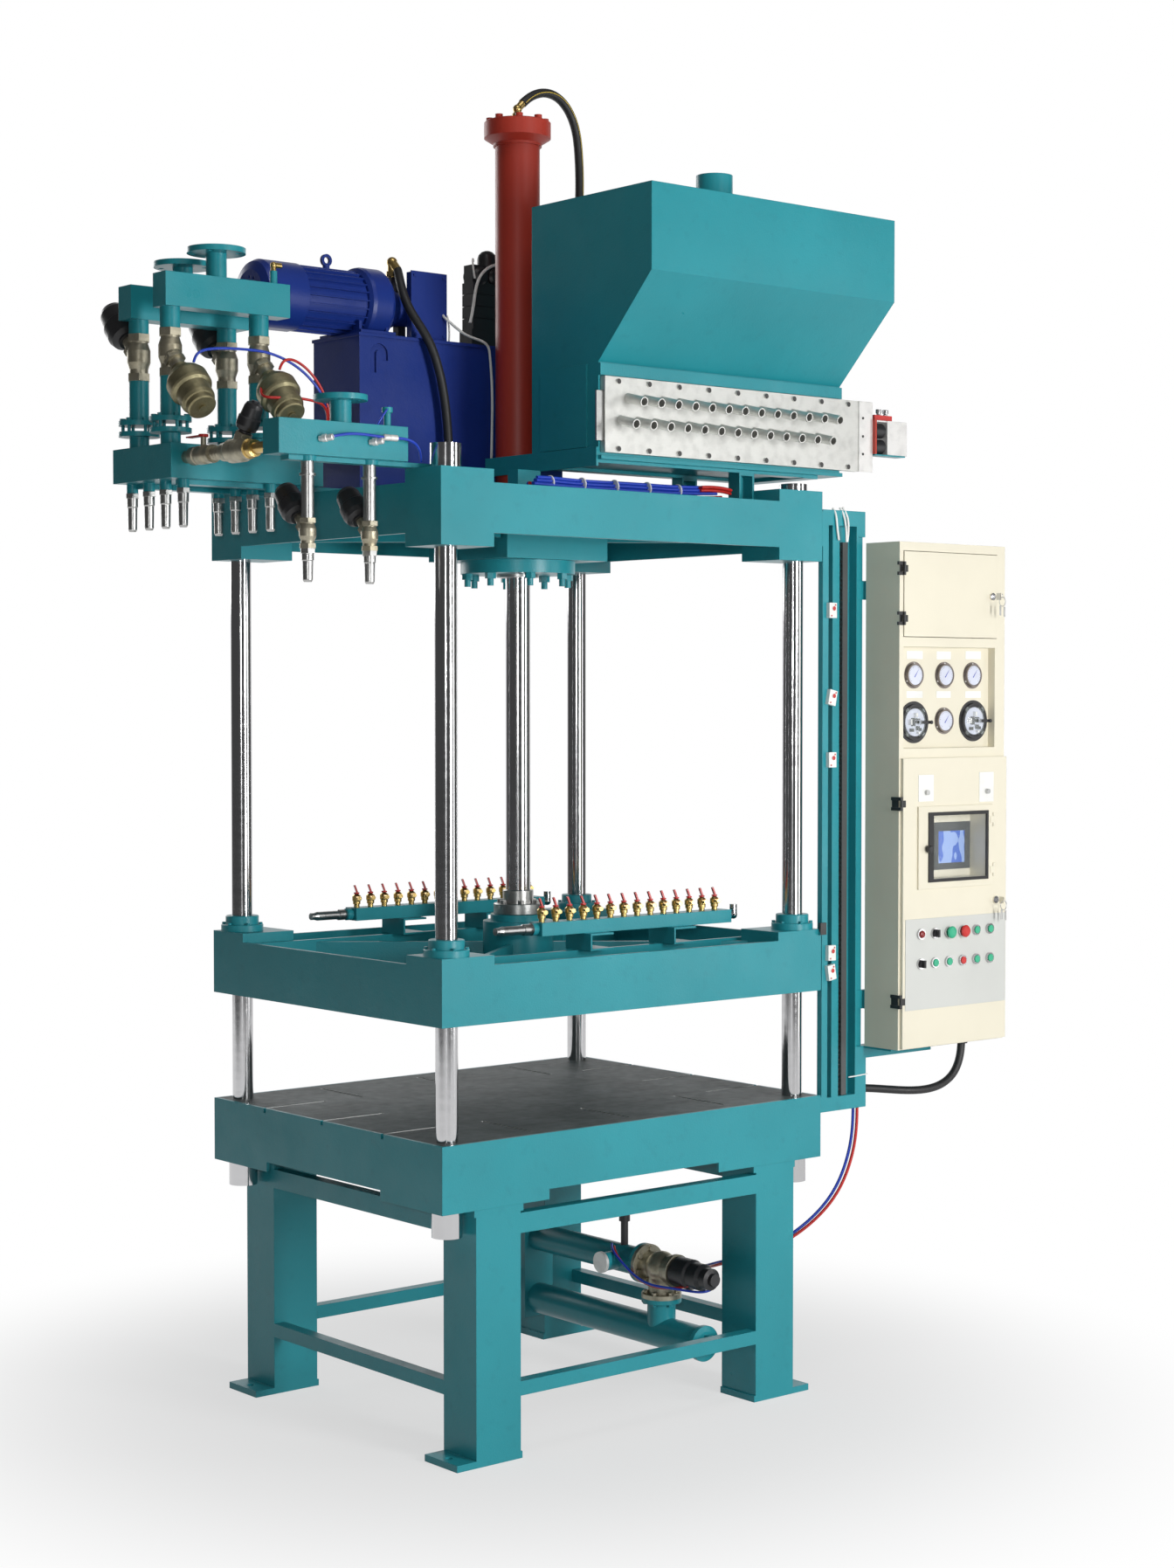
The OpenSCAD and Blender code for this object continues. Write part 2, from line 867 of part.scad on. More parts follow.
module oil_hoses() {
  color(black) {
    swept_tube(cylinder_route, hose_r, 10);
    swept_tube(pump_route, hose_r, 10);
  }
}

// ---------- Hopper and filling panel ----------

// Side profile of the hopper, drawn in from the outside by t.
module hopper_profile(t) {
  slope = atan2(hopper_low_front - hopper_high_front, hopper_crease - hopper_bend);
  shift = t * tan(slope / 2);
  polygon([
    [hopper_back - t, hopper_z0 + t], [hopper_low_front + t, hopper_z0 + t],
    [hopper_low_front + t, hopper_bend + shift], [hopper_high_front + t, hopper_crease + shift],
    [hopper_high_front + t, hopper_top - t], [hopper_back - t, hopper_top - t]
  ]);
}

module hopper_prism(x0, x1, t) {
  translate([x0, 0, 0])
    rotate([90, 0, 90])
      linear_extrude(x1 - x0)
        hopper_profile(t);
}

module hopper() {
  color(teal) {
    difference() {
      union() {
        hopper_prism(hopper_x0, hopper_x1, 0);
        translate([inlet_x, inlet_y, hopper_top - 1])
          cylinder(r = inlet_r, h = inlet_top - hopper_top + 1, $fn = 48);
      }
      hopper_prism(hopper_x0 + hopper_t, hopper_x1 - hopper_t, hopper_t);
      translate([inlet_x, inlet_y, hopper_top - 20])
        cylinder(r = inlet_r - 4, h = 200, $fn = 48);
      // mouth behind the filling panel
      block([hopper_x0 + 20, hopper_x1 - 20], [hopper_low_front - eps, hopper_low_front + 10],
         [gate_z0 + 10, gate_z1 - 10]);
    }
    // folded edge above the filling panel
    block([hopper_x0, hopper_x1], [hopper_low_front - 10, hopper_low_front],
       [panel_z1 + 3, hopper_bend - 4]);
    // lower flange
    block([hopper_x0, hopper_x1], [hopper_low_front - 14, hopper_low_front],
       [hopper_z0, hopper_z0 + 12]);
    // doubling plate on the left side
    block([hopper_x0 - 5, hopper_x0], [-436, -216], [2014, 2262]);
  }
}

module hopper_supports() {
  left = hopper_x0 - 8;
  color(teal) {
    // left bearer with its rounded end
    difference() {
      block([left, hopper_x0], [hopper_low_front, 53], [1955, 2012]);
      translate([left - eps, 53 - 24, 1955 - eps])
        cube([20, 30, 24]);
    }
    translate([left, 53 - 24, 1979])
      along_x()
        cylinder(r = 24, h = 8, $fn = 32);
    block([left, hopper_x0 + 60], [hopper_low_front, hopper_back], [1965, hopper_z0]);
    // right bearer
    block([778, 841], [hopper_low_front, hopper_back], [1963, hopper_z0]);
    block([hopper_x0 + 60, 778], [hopper_low_front, hopper_low_front + 50], [1965, hopper_z0]);
    block([hopper_x0 + 60, 778], [hopper_back - 50, hopper_back], [1965, hopper_z0]);
    // posts down to the deck
    block([-175, left + 2], [hopper_back - 50, hopper_back], [deck_z, 1957]);
    for (y = [hopper_low_front, hopper_back - 50])
      difference() {
        block([497, 561], [y, y + 50], [deck_z, 1965]);
        block([505, 553], [y - eps, y + 42], [deck_z + 8, 1965 - 8]);
      }
  }
}

module tube_positions() {
  for (row = [0, 1], i = [0 : tubes_per_row - 1])
    translate([row_x[row] + i * tube_pitch, panel_front, row_z[row]])
      children();
}

module filler_panel() {
  back = hopper_low_front;
  color(steel) {
    difference() {
      union() {
        block([panel_x0, panel_x1], [panel_front, panel_front + panel_plate_t],
           [panel_z0, panel_z1]);
        block([panel_x0, panel_x1], [panel_front, back], [panel_z0, gate_z0 - 1]);
        block([panel_x0, panel_x1], [panel_front, back], [gate_z1 + 1, panel_z1]);
        tube_positions()
          rotate([90 + tube_tilt, 0, 0])
            translate([0, 0, -12])
              cylinder(r = tube_r, h = tube_len + 9, $fn = 20);
      }
      block([panel_x0 - eps, panel_x1 + eps], [panel_front + panel_plate_t, back + eps],
         [gate_z0 - 1, gate_z1 + 1]);
      tube_positions()
        rotate([90 + tube_tilt, 0, 0])
          translate([0, 0, -12])
            cylinder(r = tube_bore, h = tube_len + 30, $fn = 20);
    }
    // end plate that carries the gate's cylinders
    block([panel_x1 - 2, gate_cyl_x0 - 6], [panel_front - 4, panel_front], [panel_z0, panel_z1]);
    for (z = [2052, 2109, 2168])
      translate([panel_x1 + 15, panel_front - 4, z])
        along_y()
          translate([0, 0, -2])
            cylinder(r = 4, h = 3, $fn = 16);
    for (row = [panel_z0 + 12, panel_z1 - 14], i = [0 : 8])
      translate([panel_x0 + 51 + i * 122, panel_front, row])
        along_y()
          translate([0, 0, -5])
            cylinder(r = 8, h = 5, $fn = 16);
  }
}

module slide_gate() {
  mid = (panel_front + hopper_low_front) / 2;
  color(steel) {
    difference() {
      block([panel_x0 - 27, gate_end], [mid - gate_t / 2, mid + gate_t / 2], [gate_z0, gate_z1]);
      for (row = [0, 1], i = [0 : tubes_per_row - 1])
        translate([row_x[row] + i * tube_pitch, mid - 10, row_z[row] - 3])
          along_y()
            cylinder(r = tube_bore + 2, h = 20, $fn = 20);
    }
    block([gate_end - 12, gate_end], [mid - 10, mid + 10], [gate_z0 + 20, gate_z1 - 14]);
    for (z = gate_cyl_z)
      translate([gate_end - 2, mid, z])
        along_x()
          cylinder(r = gate_rod_r, h = 80, $fn = 24);
  }
}

module gate_cylinders() {
  mid = (panel_front + hopper_low_front) / 2;
  z = [gate_cyl_z[0] - 26, gate_cyl_z[1] + 32];
  difference() {
    union() {
      color(black)
        for (cz = gate_cyl_z)
          translate([gate_cyl_x0, mid, cz])
            along_x()
              turned([[gate_cyl_r, 0], [gate_cyl_r, 46], [gate_cyl_r - 3, 48],
                  [gate_cyl_r - 3, 60]]);
      color(grey) {
        block([gate_body_x0, gate_cyl_x1], [mid - 27, mid + 27], z);
        block([gate_cyl_x0, gate_body_x0 + 1], [mid - 24, mid + 24], [z[1] - 5, z[1]]);
      }
      // head plate on the panel's end plate
      color(red)
        block([gate_cyl_x0 - 6, gate_cyl_x0 + 2], [mid - 27, mid + 27], [z[0], z[1] + 4]);
    }
    for (cz = gate_cyl_z)
      translate([gate_cyl_x0 - 7, mid, cz])
        along_x()
          cylinder(r = gate_rod_r + fit, h = 104, $fn = 24);
  }
  color(teal)
    block([gate_cyl_x0, gate_cyl_x1], [mid - 20, mid + 20], [z[0] - 4, z[0]]);
  // solenoid valve on top
  color(scarlet)
    block([gate_cyl_x0 + 2, gate_cyl_x0 + 84], [mid - 16, mid + 16], [z[1], z[1] + 18]);
  color(steel)
    for (x = [gate_cyl_x0 + 36, gate_cyl_x0 + 68])
      translate([x, mid, z[1] + 18])
        turned([[8, 0], [8, 8], [11, 8], [11, 20]], 20);
}

// ---------- Steam, air and water pipework ----------

// Puts the child at point a with its Z axis along v.
module aimed(a, v) {
  translate(a)
    rotate([0, acos(v[2] / norm(v)), atan2(v[1], v[0])])
      children();
}

// Riser from an upper box down to its flange pair, without the valve.
module riser(z_box, z_valve_top, z_valve_low) {
  translate([0, 0, z_valve_top])
    cylinder(r = pipe_r, h = z_box - z_valve_top, $fn = 32);
  translate([0, 0, low_z1 + 79])
    cylinder(r = pipe_r, h = z_valve_low - low_z1 - 79, $fn = 32);
  translate([0, 0, low_z1 + 65])
    flange(60, 14, 6, 94);
}

module upper_manifolds() {
  boxes = [[-1262, -841, 15, 85], [-1273, -872, 190, 260]];
  inlet_x = [-1072, -1078];
  color(teal)
    for (i = [0, 1]) {
      b = boxes[i];
      z1 = box_z0[i] + 97;
      block([b[0], b[1]], [b[2], b[3]], [box_z0[i], z1]);
      difference() {
        union() {
          translate([inlet_x[i], pipe_y[i], z1])
            cylinder(r = 30, h = 86, $fn = 32);
          translate([inlet_x[i], pipe_y[i], z1 + 70])
            cylinder(r = 85, h = 16, $fn = 48);
        }
        translate([inlet_x[i], pipe_y[i], z1 + 4])
          cylinder(r = 25, h = 90, $fn = 32);
        translate([inlet_x[i], pipe_y[i], z1 + 69])
          on_circle(4, 130, 45)
            cylinder(r = 8, h = 20, $fn = 20);
      }
      for (x = pipe_x)
        translate([x, pipe_y[i], 0])
          riser(box_z0[i], 2318, 2182);
    }
    translate([-876, pipe_y[0], box_z0[0] + 97])
      cylinder(r = 11, h = 41, $fn = 24);
}

module lower_manifold() {
  color(teal) {
    block([low_x0, low_x1], [low_y0, low_y1], [low_z0, low_z1]);
    // bearers onto the top platen
    for (y = [20, 240])
      block([low_x0 + 60, -600], [y, y + 40], [deck_z, low_z0]);
    for (x = pipe_x, y = pipe_y)
      translate([x, y, low_z1]) {
        cylinder(r = pipe_r, h = 34, $fn = 32);
        translate([0, 0, 33])
          cylinder(r = 60, h = 14, $fn = 40);
        translate([0, 0, 47])
          on_circle(6, 94, 22)
            cylinder(r = 5, h = 18, $fn = 16);
      }
    for (x = tail_x, y = tail_y)
      translate([x, y, low_z0 - 26])
        cylinder(r = 17, h = 26, $fn = 24);
  }
}

module front_manifold() {
  neck_x = -1001;
  mid_y = (front_y0 + front_y1) / 2;
  color(teal) {
    block([front_x0, front_x1], [front_y0, front_y1], [front_z0, front_z1]);
    block([front_x0 + 50, -600], [-486, -446], [top_z + top_h, front_z0]);
    difference() {
      union() {
        translate([neck_x, mid_y, front_z1])
          cylinder(r = 30, h = 78, $fn = 32);
        translate([neck_x, mid_y, front_z1 + 62])
          cylinder(r = 75, h = 16, $fn = 48);
      }
      translate([neck_x, mid_y, front_z1 + 4])
        cylinder(r = 25, h = 80, $fn = 32);
      translate([neck_x, mid_y, front_z1 + 61])
        on_circle(4, 112, 45)
          cylinder(r = 7, h = 20, $fn = 20);
    }
    // gauge stub
    translate([-843, mid_y, front_z1])
      turned([[10, 0], [10, 40], [15, 40], [15, 55]], 24);
    for (x = drop_x)
      translate([x, drop_y, front_z0 - 14])
        cylinder(r = 24, h = 14, $fn = 24);
  }
}

// Hose tail hanging down from z = 0: a hex, then a taper.
module hose_tail(length, r) {
  mirror([0, 0, 1]) {
    hex(2 * r, 14);
    turned([
      [r - 2, 14], [r - 2, length * 0.35], [r - 4, length * 0.38],
      [r - 5, length - 6], [r - 8, length]
    ], 24);
  }
}

module hose_tails() {
  color(steel) {
    for (x = tail_x, y = tail_y)
      translate([x, y, low_z0 - 26])
        hose_tail(112, 18);
    for (x = drop_x)
      translate([x, drop_y, 0]) {
        translate([0, 0, 1756])
          cylinder(r = 18, h = front_z0 - 14 - 1756, $fn = 24);
        translate([0, 0, 1872])
          cylinder(r = 23, h = 6, $fn = 24);
        translate([0, 0, 1673])
          hose_tail(92, 19);
      }
  }
}

// Angle-seat valve with its run along Z from 0 to h and its bonnet along v.
module angle_valve(h, r, v, reach) {
  hex(2 * r * 1.12, 0.16 * h);
  translate([0, 0, 0.84 * h])
    hex(2 * r * 1.12, 0.16 * h);
  translate([0, 0, 0.1 * h])
    turned([[r, 0], [r, 0.15 * h], [r * 1.25, 0.3 * h], [r * 1.25, 0.55 * h], [r, 0.7 * h],
        [r, 0.8 * h]]);
  aimed([0, 0, h / 2], v) {
    cylinder(r = r * 1.05, h = reach * 0.4, $fn = 32);
    translate([0, 0, reach * 0.35])
      hex(2 * r, reach * 0.23);
    cylinder(r = r * 0.75, h = reach, $fn = 32);
  }
}

steam_lean = [0, -1, -1];
air_lean = [0, 1, 1];
drop_lean = [0, 1, 1.1];

module angle_valves() {
  color(bronze) {
    for (x = pipe_x)
      translate([x, pipe_y[0], 2182])
        angle_valve(136, 27, steam_lean, valve_reach);
    for (x = pipe_x)
      translate([x, pipe_y[1], 2182])
        angle_valve(136, 27, air_lean, valve_reach + 4);
    for (x = drop_x)
      translate([x, drop_y, 1673])
        angle_valve(83, 19, drop_lean, drop_reach);
  }
  // drain valve
  color(bronze)
    translate([drain_x, drain_valve_y, 0]) {
      translate([0, 0, header_z + 112])
        flange(64, 14, 6, 100);
      translate([0, 0, header_z + 118])
        cylinder(r = 42, h = upper_z - header_z - 118, $fn = 40);
      translate([0, 0, upper_z])
        sphere(r = 52, $fn = 40);
      translate([0, 0, upper_z])
        along_y()
          cylinder(r = 42, h = 70, $fn = 40);
      translate([0, 76, upper_z])
        rotate([90, 0, 0])
          flange(64, 14, 6, 100);
      translate([0, -76, upper_z])
        along_y()
          turned([[52, 0], [52, 14], [44, 20], [44, 40]]);
    }
}

module steam_actuator() {
  turned([
    [26, 0], [26, 10], [40, 22], [54, 40], [62, 56], [62, 90], [59, 96], [51, 102], [50, 140],
    [46, 150], [42, 152], [42, 168], [38, 172]
  ], 48);
  translate([0, 0, 172])
    cylinder(r = 12, h = 8, $fn = 24);
}

module air_actuator(k) {
  scale([k, k, k])
    turned([
      [30, 0], [30, 8], [46, 16], [52, 34], [52, 70], [47, 76], [43, 120], [36, 136],
      [18, 144], [18, 150]
    ], 40);
}

module steam_actuators() {
  color(bronze)
    for (x = pipe_x)
      aimed([x, pipe_y[0], 2250] + (valve_reach + face_gap) * steam_lean / norm(steam_lean), steam_lean)
        steam_actuator();
}

module air_actuators() {
  color(black) {
    for (x = pipe_x)
      aimed([x, pipe_y[1], 2250] + (valve_reach + 4 + face_gap) * air_lean / norm(air_lean), air_lean)
        air_actuator(1);
    for (x = drop_x)
      aimed([x, drop_y, 1714.5] + (drop_reach + face_gap) * drop_lean / norm(drop_lean), drop_lean)
        air_actuator(0.8);
    aimed([cross_x, -285, cross_z] + cross_reach * cross_lean / norm(cross_lean), cross_lean)
      air_actuator(0.62);
    translate([drain_x, drain_valve_y - 76, upper_z])
      rotate([90, 0, 0])
        turned([
          [40, 0], [48, 6], [48, 70], [42, 78], [42, 120], [34, 132], [34, 158], [20, 162],
          [20, 176]
        ], 40);
    // push fitting for the air tubes
    translate([drain_x + 40, drain_valve_y - 99, upper_z])
      along_x()
        cylinder(r = 14, h = 36, $fn = 20);
  }
}

cross_lean = [0.15, -0.45, 1];

module cross_pipe() {
  y0 = front_y1;
  y1 = low_y0;
  color(brass)
    translate([cross_x, y1, cross_z])
      rotate([90, 0, 0]) {
        turned([
          [18, 0], [18, 36], [26, 36], [26, 60], [22, 62], [27, 74], [27, 106], [22, 118],
          [26, 120], [26, 142], [18, 142], [20, 150], [18, 158], [20, 166], [18, 174],
          [20, 182], [18, 190], [20, 198], [26, 200], [28, 224], [34, 240], [34, 300],
          [28, 314], [28, 330], [24, 332], [24, 356], [16, 358], [16, y1 - y0]
        ], 28);
      }
  color(brass) {
    translate([cross_x, y1 - 90, cross_z])
      cylinder(r = 8, h = 50, $fn = 20);
    aimed([cross_x, -285, cross_z], cross_lean) {
      cylinder(r = 24, h = 40, $fn = 28);
      translate([0, 0, 34])
        hex(44, 18);
    }
  }
  color(scarlet)
    translate([cross_x, y1 - 90, cross_z + 50]) {
      cylinder(r = 14, h = 8, $fn = 24);
      translate([-10, 0, 2])
        cube([20, 78, 4]);
    }
}

module drain_pipes() {
  rear_y = 330;
  color(teal)
    translate([drain_x, 0, 0]) {
      // header with its front cap
      translate([0, -488, header_z])
        along_y()
          cylinder(r = header_r, h = rear_y + 488, $fn = 40);
      translate([0, -500, header_z])
        along_y()
          turned([[header_r - 12, 0], [header_r + 6, 4], [header_r + 6, 20]], 40);
      // stub to the valve
      translate([0, drain_valve_y, header_z])
        cylinder(r = 45, h = 100, $fn = 40);
      translate([0, drain_valve_y, header_z + 112])
        mirror([0, 0, 1])
          flange(64, 14, 6, 100);
      // upper line
      translate([0, drain_valve_y + 76, upper_z])
        along_y() {
          flange(64, 14, 6, 100);
          cylinder(r = upper_r, h = rear_y - drain_valve_y - 76, $fn = 40);
        }
      // rear box and its bracket on the back rail
      block([-60, 60], [rear_y, rear_y + 100], [header_z - 60, upper_z + 60]);
      block([-30, 30], [rear_y + 100, hy - rail_t], [low_rail[0], low_rail[1]]);
      // front hanger
      block([-8, 8], [rail_t - hy, -496], [low_rail[0], low_rail[0] + 30]);
      // side branch
      translate([-40 - 56, -110, upper_z])
        along_x()
          cylinder(r = 30, h = 60, $fn = 32);
    }
  color(steel)
    translate([drain_x - 104, -110, upper_z])
      along_x()
        cylinder(r = 34, h = 10, $fn = 32);
  color(black)
    translate([drain_x, -110, upper_z + upper_r - 4])
      turned([[12, 0], [12, 80], [18, 80], [18, 120], [10, 122], [10, 150]], 24);
}

// ---------- Moving platen ----------

module moving_platen() {
  z0 = daylight;
  z1 = daylight + rim_h;
  zb = z1 + block_rise;
  w = rim_t;
  ax = hx - w;
  ay = hy - w;
  color(teal) {
    difference() {
      union() {
        block([-hx, hx], [-hy, hy], [z0, z0 + 25]);
        for (s = [-1, 1]) {
          block([-hx, hx], s > 0 ? [ay, hy] : [-hy, -ay], [z0, z1]);
          block(s > 0 ? [ax, hx] : [-hx, -ax], [-hy, hy], [z0, z1]);
          block([-ax, ax], [s * bar_y - rib_t / 2, s * bar_y + rib_t / 2], [z0, z1 - 2]);
        }
        intersection() {
          diagonal_ribs(z0, z1 - 10, hx, hy);
          block([-ax, ax], [-ay, ay], [z0, zb]);
        }
        four_ways()
          block([hx - block_w, hx], [hy - block_d, hy], [z0, zb]);
        translate([0, 0, z0])
          cylinder(r = boss_r, h = boss_top - z0, $fn = 64);
        translate([0, 0, boss_top])
          cylinder(r = boss_plate_r, h = boss_plate_t, $fn = 64);
      }
      column_holes(z0, zb, bush_r - 8 + fit);
      // mould bolt holes in the underside
      for (x = [-480, 480], y = [-300, 300])
        translate([x, y, z0 - eps])
          cylinder(r = 9, h = 26, $fn = 24);
    }
    // target for the position switches
    block([hx - 14, hx], [-hy - 4, -hy], [z1 + 9, zb]);
    block([hx - 14, hx + 12], [-hy - 12, -hy - 3], [z1 + 9, z1 + 47]);
  }
}

module guide_bushes() {
  z1 = daylight + rim_h + block_rise;
  color(teal)
    at_corners(column_x, column_y) {
      difference() {
        turned([
          [bush_r - 8, daylight + 4], [bush_r - 8, z1], [bush_flange_r, z1],
          [bush_flange_r, z1 + bush_flange_t - 2], [bush_flange_r - 2, z1 + bush_flange_t],
          [bush_r, z1 + bush_flange_t], [bush_r, z1 + bush_flange_t + bush_h - 2],
          [bush_r - 2, z1 + bush_flange_t + bush_h]
        ], 48);
        translate([0, 0, daylight])
          cylinder(r = column_r + fit, h = 260, $fn = 48);
      }
      translate([0, 0, z1 + bush_flange_t])
        on_circle(6, 118, 15)
          hex(10, 6);
    }
}

module rod_flange() {
  z0 = boss_top + boss_plate_t;
  color(chrome) {
    difference() {
      turned([
        [75, z0], [77.5, z0 + 2], [77.5, z0 + rod_flange_t - 2], [75.5, z0 + rod_flange_t],
        [48.5, z0 + rod_flange_t], [48.5, z0 + rod_flange_t + rod_collar_h - 2],
        [46.5, z0 + rod_flange_t + rod_collar_h]
      ], 64);
      translate([0, 0, z0 + 4])
        cylinder(r = rod_d / 2 + fit, h = 200, $fn = 64);
    }
    on_circle(6, 122, 0)
      translate([0, 0, z0 + rod_flange_t])
        hex(18, 11);
  }
}

module bar_with_ends(x0, x1, y) {
  block([x0, x1], [y - bar_w / 2, y + bar_w / 2], [bar_z, bar_z + bar_h]);
  translate([x0, y, bar_z + bar_h / 2])
    rotate([0, -90, 0])
      turned([
        [19, 0], [19, 20], [14, 22], [17, 30], [17, 50], [14, 52], [14, 130], [11, 142],
        [11, 154]
      ], 24);
  translate([x1, y, bar_z + bar_h / 2]) {
    along_x()
      turned([[16, 0], [16, 14], [12, 16], [12, 40]], 24);
    translate([36, 0, 0]) {
      sphere(r = 13, $fn = 24);
      cylinder(r = 12, h = 34, $fn = 24);
    }
  }
  for (x = [x0 + 209, x1 - 224])
    difference() {
      block([x - 45, x + 45], [y - 60, y + 60], [daylight + rim_h - 2, bar_z]);
      block([x - 39, x + 46], [y - 61, y + 61], [daylight + rim_h + 4, bar_z - 6]);
    }
}

module valve_bars() {
  color(teal) {
    bar_with_ends(front_bar_x0, front_bar_x1, -bar_y);
    bar_with_ends(rear_bar_x0, rear_bar_x1, bar_y);
  }
}

module on_valve_bars() {
  for (row = [[front_bar_x0, -bar_y], [rear_bar_x0, bar_y]], i = [0 : valves_per_bar - 1])
    translate([row[0] + first_valve + i * valve_pitch, row[1], bar_z + bar_h])
      children();
}

module bar_valves() {
  color(brass)
    on_valve_bars() {
      turned([[9, 0], [9, 10], [12, 11], [12, 20], [14, 22], [14, 36], [9, 41], [5, 44]], 14);
      translate([0, 0, 31])
        rotate([90, 0, -20])
          cylinder(r = 7, h = 38, $fn = 14);
    }
}

module bar_levers() {
  color(scarlet)
    on_valve_bars()
      translate([0, 0, 44])
        rotate([0, 0, 160]) {
          cylinder(r = 9, h = 4, $fn = 16);
          rotate([0, -70, 0])
            translate([1, -6, 0])
              cube([27, 12, 5]);
        }
}

// ---------- Rail frame and switches ----------

module rail_frame() {
  y = [rail_y1, rail_y0];
  z = [rail_z0, rail_z1];
  color(teal) {
    // left bar, second strip, back plate and right channel
    block([rail_x0, rail_x0 + 26], [rail_y1, rail_y1 + 20], z);
    block([rail_x0 + 44, rail_x0 + 75], y, z);
    block([rail_x0 + 74, rail_channel_x + 1], [rail_y0 - 4, rail_y0], z);
    block([rail_channel_x, rail_channel_x + 7], y, z);
    block([rail_channel_x, rail_x1], [rail_y1 + 12, rail_y0], z);
    block([hx, rail_x0], [rail_y1, rail_y1 + 20], [top_z + 48, rail_z1 - 7]);
    block([hx, rail_x0], [rail_y1, rail_y1 + 20], [rail_z0, -6]);
    block([rail_x0, rail_x1], y, [rail_z1 - 49, rail_z1]);
    block([rail_x0 + 13, rail_x1], y, [rail_z0, rail_z0 + 45]);
    block([rail_channel_x, rail_x1], [rail_y1, rail_y1 + 13], [rail_z1 - 81, rail_z1]);
    block([rail_channel_x, rail_x1 + 11], [rail_y1, rail_y1 + 13], [rail_z0, 110]);
    // arms behind the cabinet
    for (az = [cab_z0 + 120, cabinet_top - 180]) {
      block([rail_x1 - 24, cab_x1 - 100], [cab_y1 + 12, cab_y1 + 24], [az, az + 60]);
      block([cab_x0 + 5, cab_x1 - 100], [cab_y1, cab_y1 + 13], [az, az + 60]);
    }
    // shelf under the cabinet
    difference() {
      block([rail_channel_x, cab_x1 - 180], [cab_y0 + 30, rail_y0], [cab_z0 - 40, cab_z0]);
      block([rail_x1, cab_x1], [cab_y0 + 24, cab_y1 + 6], [cab_z0 - 41, cab_z0 - 6]);
      block([rail_channel_x - 1, rail_x1 + 1], [cab_y0, rail_y1], [cab_z0 - 41, cab_z0 + 1]);
    }
  }
  // conduit gland behind the right plate
  color(black)
    rod_between(conduit_route[len(conduit_route) - 1], [938, -565, 0], 15.5);
}

module wiring_duct() {
  x0 = 848;
  x1 = 871;
  y0 = rail_y1 + 6;
  y1 = rail_y0 - 4;
  z0 = rail_z0 + 46;
  z1 = rail_z1 - 100;
  pitch = 15.5;
  color(grey)
    difference() {
      block([x0, x1], [y0, y1], [z0, z1]);
      block([x0 + 2.5, x1 - 2.5], [y0 + 3, y1 - 3], [z0 - eps, z1 + eps]);
      // fingers on both sides
      for (z = [z0 + 14 : pitch : z1 - 14])
        block([x0 - eps, x1 + eps], [y0 + 5, y1 - 5], [z, z + 8]);
    }
}

module limit_switches() {
  color(cream)
    for (s = sensors)
      translate([sensor_x, rail_y1, s[0]])
        rotate([0, s[1], 0]) {
          block([-16.5, 16.5], [-14, 0], [-24, 24]);
          translate([2, -14, 6])
            rotate([90, 0, 0])
              cylinder(r = 7, h = 3, $fn = 24);
          for (k = [-17, 17])
            translate([k / 2, -14, k])
              rotate([90, 0, 0])
                cylinder(r = 3, h = 2, $fn = 16);
        }
}

// ---------- Control cabinet ----------

module cabinet_body() {
  t = cab_t;
  x = [cab_x0, cab_x1];
  in_x = [cab_x0 + t, cab_x1 - t];
  in_y = [cab_y0 + t, cab_y1 - t];
  color(cream) {
    difference() {
      block(x, [cab_y0, cab_y1], [cab_z0, cabinet_top]);
      // upper compartment and its doorway
      block(in_x, in_y, [recess[3] + 12, cabinet_top - t]);
      block([high_door[0], high_door[1]], [cab_y0 - eps, cab_y0 + 20], [high_door[2], high_door[3]]);
      // gauge recess and the space behind it
      block([recess[0], recess[1]], [cab_y0 - eps, gauge_y], [recess[2], recess[3]]);
      block(in_x, [gauge_y + t, cab_y1 - t], [recess[2] - 4, recess[3] + 4]);
      // lower compartment and its doorway
      block(in_x, in_y, [cab_z0 + t, recess[2] - 14]);
      block([cab_x0 + 30, cab_x1 - 25], [cab_y0 - eps, cab_y0 + 20],
         [cab_z0 + 24, recess[2] - 50]);
      // cable entry
      translate([conduit_x, -680, cab_z0 - eps])
        cylinder(r = 15, h = 10, $fn = 32);
    }
    // hinge halves of the two doors
    for (z = high_hinge_z)
      translate([high_hinge[0], high_hinge[1], z])
        hinge_fixed([-26, 0], [2, cab_y0 - high_hinge[1]]);
    for (z = low_hinge_z)
      translate([low_hinge[0], low_hinge[1], z])
        hinge_fixed([cab_x0 - low_hinge[0] - 4, cab_x0 - low_hinge[0]], [-2, 40]);
    // conduit gland
    translate([conduit_x, -680, cab_z0 - 14])
      ring(20, 14, 14, 32);
  }
}

// Fixed half of a hinge on the Z axis: outer knuckles, pin and leaf.
module hinge_fixed(x, y) {
  cylinder(r = hinge_pin_r, h = hinge_h, center = true, $fn = 24);
  for (z = [-hinge_h / 2, hinge_h / 4 + 0.3]) {
    translate([0, 0, z])
      cylinder(r = hinge_r, h = hinge_h / 4 - 0.3, $fn = 24);
    block(x, y, [z, z + hinge_h / 4 - 0.3]);
  }
}

// Moving half of the same hinge.
module hinge_moving(x, y) {
  difference() {
    union() {
      cylinder(r = hinge_r, h = hinge_h / 2, center = true, $fn = 24);
      block(x, y, [-hinge_h / 4, hinge_h / 4]);
    }
    cylinder(r = hinge_pin_r + fit, h = hinge_h, center = true, $fn = 24);
  }
}

// Sheet-metal door: a skin with its edges folded back.
module pan_door(x, y, z, skin) {
  difference() {
    block(x, y, z);
    block([x[0] + skin, x[1] - skin], [y[0] + skin, y[1] + 1], [z[0] + skin, z[1] - skin]);
  }
}

